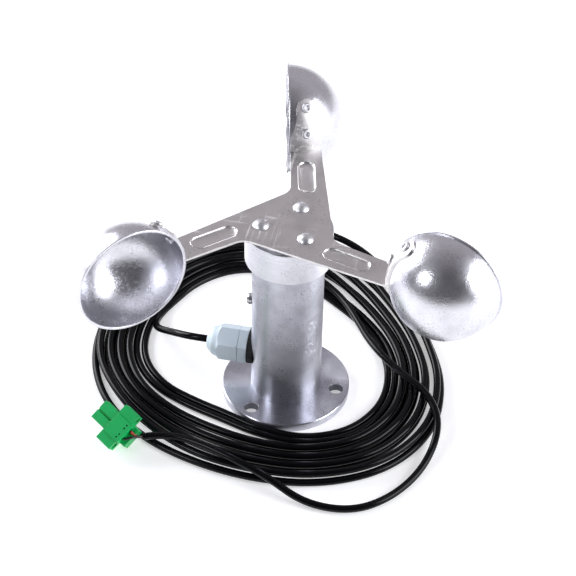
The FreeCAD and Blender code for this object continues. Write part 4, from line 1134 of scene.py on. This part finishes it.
def spline_piece(name: str, route: Sequence[Point3], diameter: float, sides: int) -> bpy.types.Object:
    """A round cord along a smooth line.

    Args:
        name: The piece's name.
        route: Control points, in metres.
        diameter: The cord's diameter.
        sides: Subdivisions of its round section.

    Returns:
        The curve object.
    """
    data = bpy.data.curves.new(name, "CURVE")
    data.dimensions = "3D"
    data.resolution_u = 8
    data.bevel_depth = diameter / 2
    data.bevel_resolution = sides
    data.use_fill_caps = True
    spline = data.splines.new("NURBS")
    spline.points.add(len(route) - 1)
    for point, place in zip(spline.points, route):
        point.co = (*place, 1.0)
    spline.order_u = 3
    spline.use_endpoint_u = True
    piece = bpy.data.objects.new(name, data)
    bpy.context.scene.collection.objects.link(piece)
    return piece


class Cable:
    """The cable from the gland to the plug: lead, coil, tail and the two bared cores."""

    DIAMETER = 0.0036
    CORE = 0.0013
    SIDES, CORE_SIDES = 5, 4
    LENGTH = 5.15
    LEAD = (
        (-0.0388, 0.0, 0.0245), (-0.0475, 0.0, 0.0243), (-0.0575, 0.0060, 0.0195),
        (-0.0695, 0.0175, 0.0095), (-0.0730, 0.0285, 0.0040), (-0.0715, 0.0390, 0.0020),
    )
    TAIL = (
        (0.0260, 0.0500, 0.0065), (0.0370, 0.0295, 0.0098), (0.0530, 0.0135, 0.0100),
        (0.0710, 0.0005, 0.0100), (0.0790, -0.0170, 0.0070), (0.0755, -0.0400, 0.0021),
        (0.0640, -0.0620, 0.0019), (0.0470, -0.0755, 0.0019), (0.0240, -0.0755, 0.0021),
        (0.0050, -0.0675, 0.0074), (-0.0140, -0.0615, 0.0102), (-0.0340, -0.0545, 0.0100),
        (-0.0490, -0.0528, 0.0088), (-0.0576, -0.0544, 0.0067),
    )
    RED = ((-0.0576, -0.0541, 0.0063), (-0.0596, -0.0556, 0.0069), (-0.0616, -0.0569, 0.0094),
           (-0.0629, -0.0571, 0.0117))
    BLACK = ((-0.0576, -0.0548, 0.0071), (-0.0603, -0.0571, 0.0086), (-0.0632, -0.0593, 0.0094),
             (-0.0657, -0.0604, 0.0090))

    def __init__(self, finishes: Finishes) -> None:
        """Keeps the finishes for its pieces."""
        self.finishes = finishes

    def build(self) -> list[bpy.types.Object]:
        """Returns:
            The pieces.
        """
        cores = []
        for name, route, slot in (("red_core", self.RED, "red_insulation"),
                                  ("black_core", self.BLACK, "black_insulation")):
            core = spline_piece(f"{name}_bared", route, self.CORE, self.CORE_SIDES)
            self.finishes.give(core, slot)
            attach(core, BASE)
            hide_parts(name)
            cores.append(core)
        route = [*self.LEAD, *Coil(CoilSizes()).points(), *self.TAIL]
        cord = spline_piece("cable_jacket", route, self.DIAMETER, self.SIDES)
        self.finishes.give(cord, "cable_jacket")
        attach(cord, BASE)
        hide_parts("cable_lead", "cable_coil", "cable_tail")
        return [cord, *cores]


# Studio --------------------------------------------------------------------------------------


@dataclass(frozen=True)
class Softbox:
    """A square lamp that faces a point on the object."""

    name: str
    place: Point3
    across: float
    power: float
    aim: Point3 = (0.0, 0.0, 0.06)


SOFTBOXES = (
    Softbox("left", (-0.95, 0.40, 0.50), 0.70, 11.5),
    Softbox("right", (1.05, -0.08, 0.50), 0.80, 13.0),
    Softbox("front", (-0.75, -0.70, 0.76), 0.30, 3.0),
)


class Studio:
    """Pale floor, soft lamps, pale surroundings and the camera."""

    CAMERA_PLACE = (0.1343, -0.7005, 0.6943)
    CAMERA_TURN = 10.85
    CAMERA_DOWN = 41.42
    CAMERA_ROLL = 1.30
    LENS, SENSOR = 126.4, 36.0
    CLIP = (0.01, 20.0)
    LAMP_COLOUR = (0.94, 0.96, 1.0)
    FLOOR = 6.0
    FLOOR_COLOUR = (0.84, 0.84, 0.85, 1)
    FLOOR_ROUGHNESS = 0.9
    FLOOR_GLOW, FLOOR_GLOW_STRENGTH = (1.0, 1.0, 1.0, 1), 0.42
    NEAR_WALL, NEAR_AT = (0.10, 0.095, 0.105, 1), 0.25
    FAR_WALL, FAR_AT = (0.41, 0.385, 0.41, 1), 0.80

    def floor(self) -> None:
        """A plain pale floor."""
        mesh = bmesh.new()
        bmesh.ops.create_grid(mesh, x_segments=1, y_segments=1, size=self.FLOOR / 2)
        data = bpy.data.meshes.new("floor")
        mesh.to_mesh(data)
        mesh.free()
        floor = bpy.data.objects.new("floor", data)
        bpy.context.scene.collection.objects.link(floor)
        paint = bpy.data.materials.new("floor_paint")
        paint.use_nodes = True
        surface = paint.node_tree.nodes["Principled BSDF"]
        surface.inputs["Base Color"].default_value = self.FLOOR_COLOUR
        surface.inputs["Roughness"].default_value = self.FLOOR_ROUGHNESS
        surface.inputs["Emission Color"].default_value = self.FLOOR_GLOW
        surface.inputs["Emission Strength"].default_value = self.FLOOR_GLOW_STRENGTH
        data.materials.append(paint)

    def lamps(self) -> None:
        """The softboxes."""
        for box in SOFTBOXES:
            data = bpy.data.lights.new(box.name, "AREA")
            data.shape = "SQUARE"
            data.size = box.across
            data.energy = box.power
            data.color = self.LAMP_COLOUR
            lamp = bpy.data.objects.new(box.name, data)
            lamp.location = box.place
            toward = Vector(box.aim) - Vector(box.place)
            lamp.rotation_euler = toward.to_track_quat("-Z", "Y").to_euler()
            bpy.context.scene.collection.objects.link(lamp)

    def surroundings(self) -> None:
        """Walls that are grey behind the object and dark on the other side."""
        world = bpy.data.worlds.new("studio")
        world.use_nodes = True
        nodes, links = world.node_tree.nodes, world.node_tree.links
        where = nodes.new("ShaderNodeTexCoord")
        split = nodes.new("ShaderNodeSeparateXYZ")
        links.new(where.outputs["Generated"], split.inputs[0])
        ramp = nodes.new("ShaderNodeValToRGB")
        near, far = ramp.color_ramp.elements
        near.position, near.color = self.NEAR_AT, self.NEAR_WALL
        far.position, far.color = self.FAR_AT, self.FAR_WALL
        depth = nodes.new("ShaderNodeMapRange")
        depth.inputs["From Min"].default_value, depth.inputs["From Max"].default_value = -1.0, 1.0
        links.new(split.outputs["Y"], depth.inputs["Value"])
        links.new(depth.outputs["Result"], ramp.inputs["Fac"])
        links.new(ramp.outputs["Color"], nodes["Background"].inputs["Color"])
        scene = bpy.context.scene
        scene.world = world
        scene.view_settings.view_transform = "Standard"

    def camera(self) -> None:
        """The camera, looking down at the object."""
        data = bpy.data.cameras.new("camera")
        data.lens = self.LENS
        data.sensor_width = self.SENSOR
        data.clip_start, data.clip_end = self.CLIP
        camera = bpy.data.objects.new("camera", data)
        turn = Matrix.Rotation(math.radians(self.CAMERA_TURN), 3, "Z")
        tip = Matrix.Rotation(math.radians(90 - self.CAMERA_DOWN), 3, "X")
        roll = Matrix.Rotation(math.radians(self.CAMERA_ROLL), 3, "Z")
        camera.rotation_euler = (turn @ tip @ roll).to_euler()
        camera.location = self.CAMERA_PLACE
        bpy.context.scene.collection.objects.link(camera)
        bpy.context.scene.camera = camera

    def build(self) -> None:
        """Sets the studio up."""
        self.floor()
        self.lamps()
        self.surroundings()
        self.camera()


def main() -> None:
    """Dresses the CAD model and sets it in the studio."""
    logging.basicConfig(level=logging.INFO)
    finishes = Finishes()
    finishes.give_cad_nodes()
    for piece in (*Rotor(finishes).build(), *Cable(finishes).build()):
        log.info("%s is made of %s", piece.name, piece.data.materials[0].name)
    log.info("%d nodes have their finish", len(CAD["nodes"]))
    Studio().build()
    bpy.context.view_layer.update()


if __name__ == "__main__":
    main()
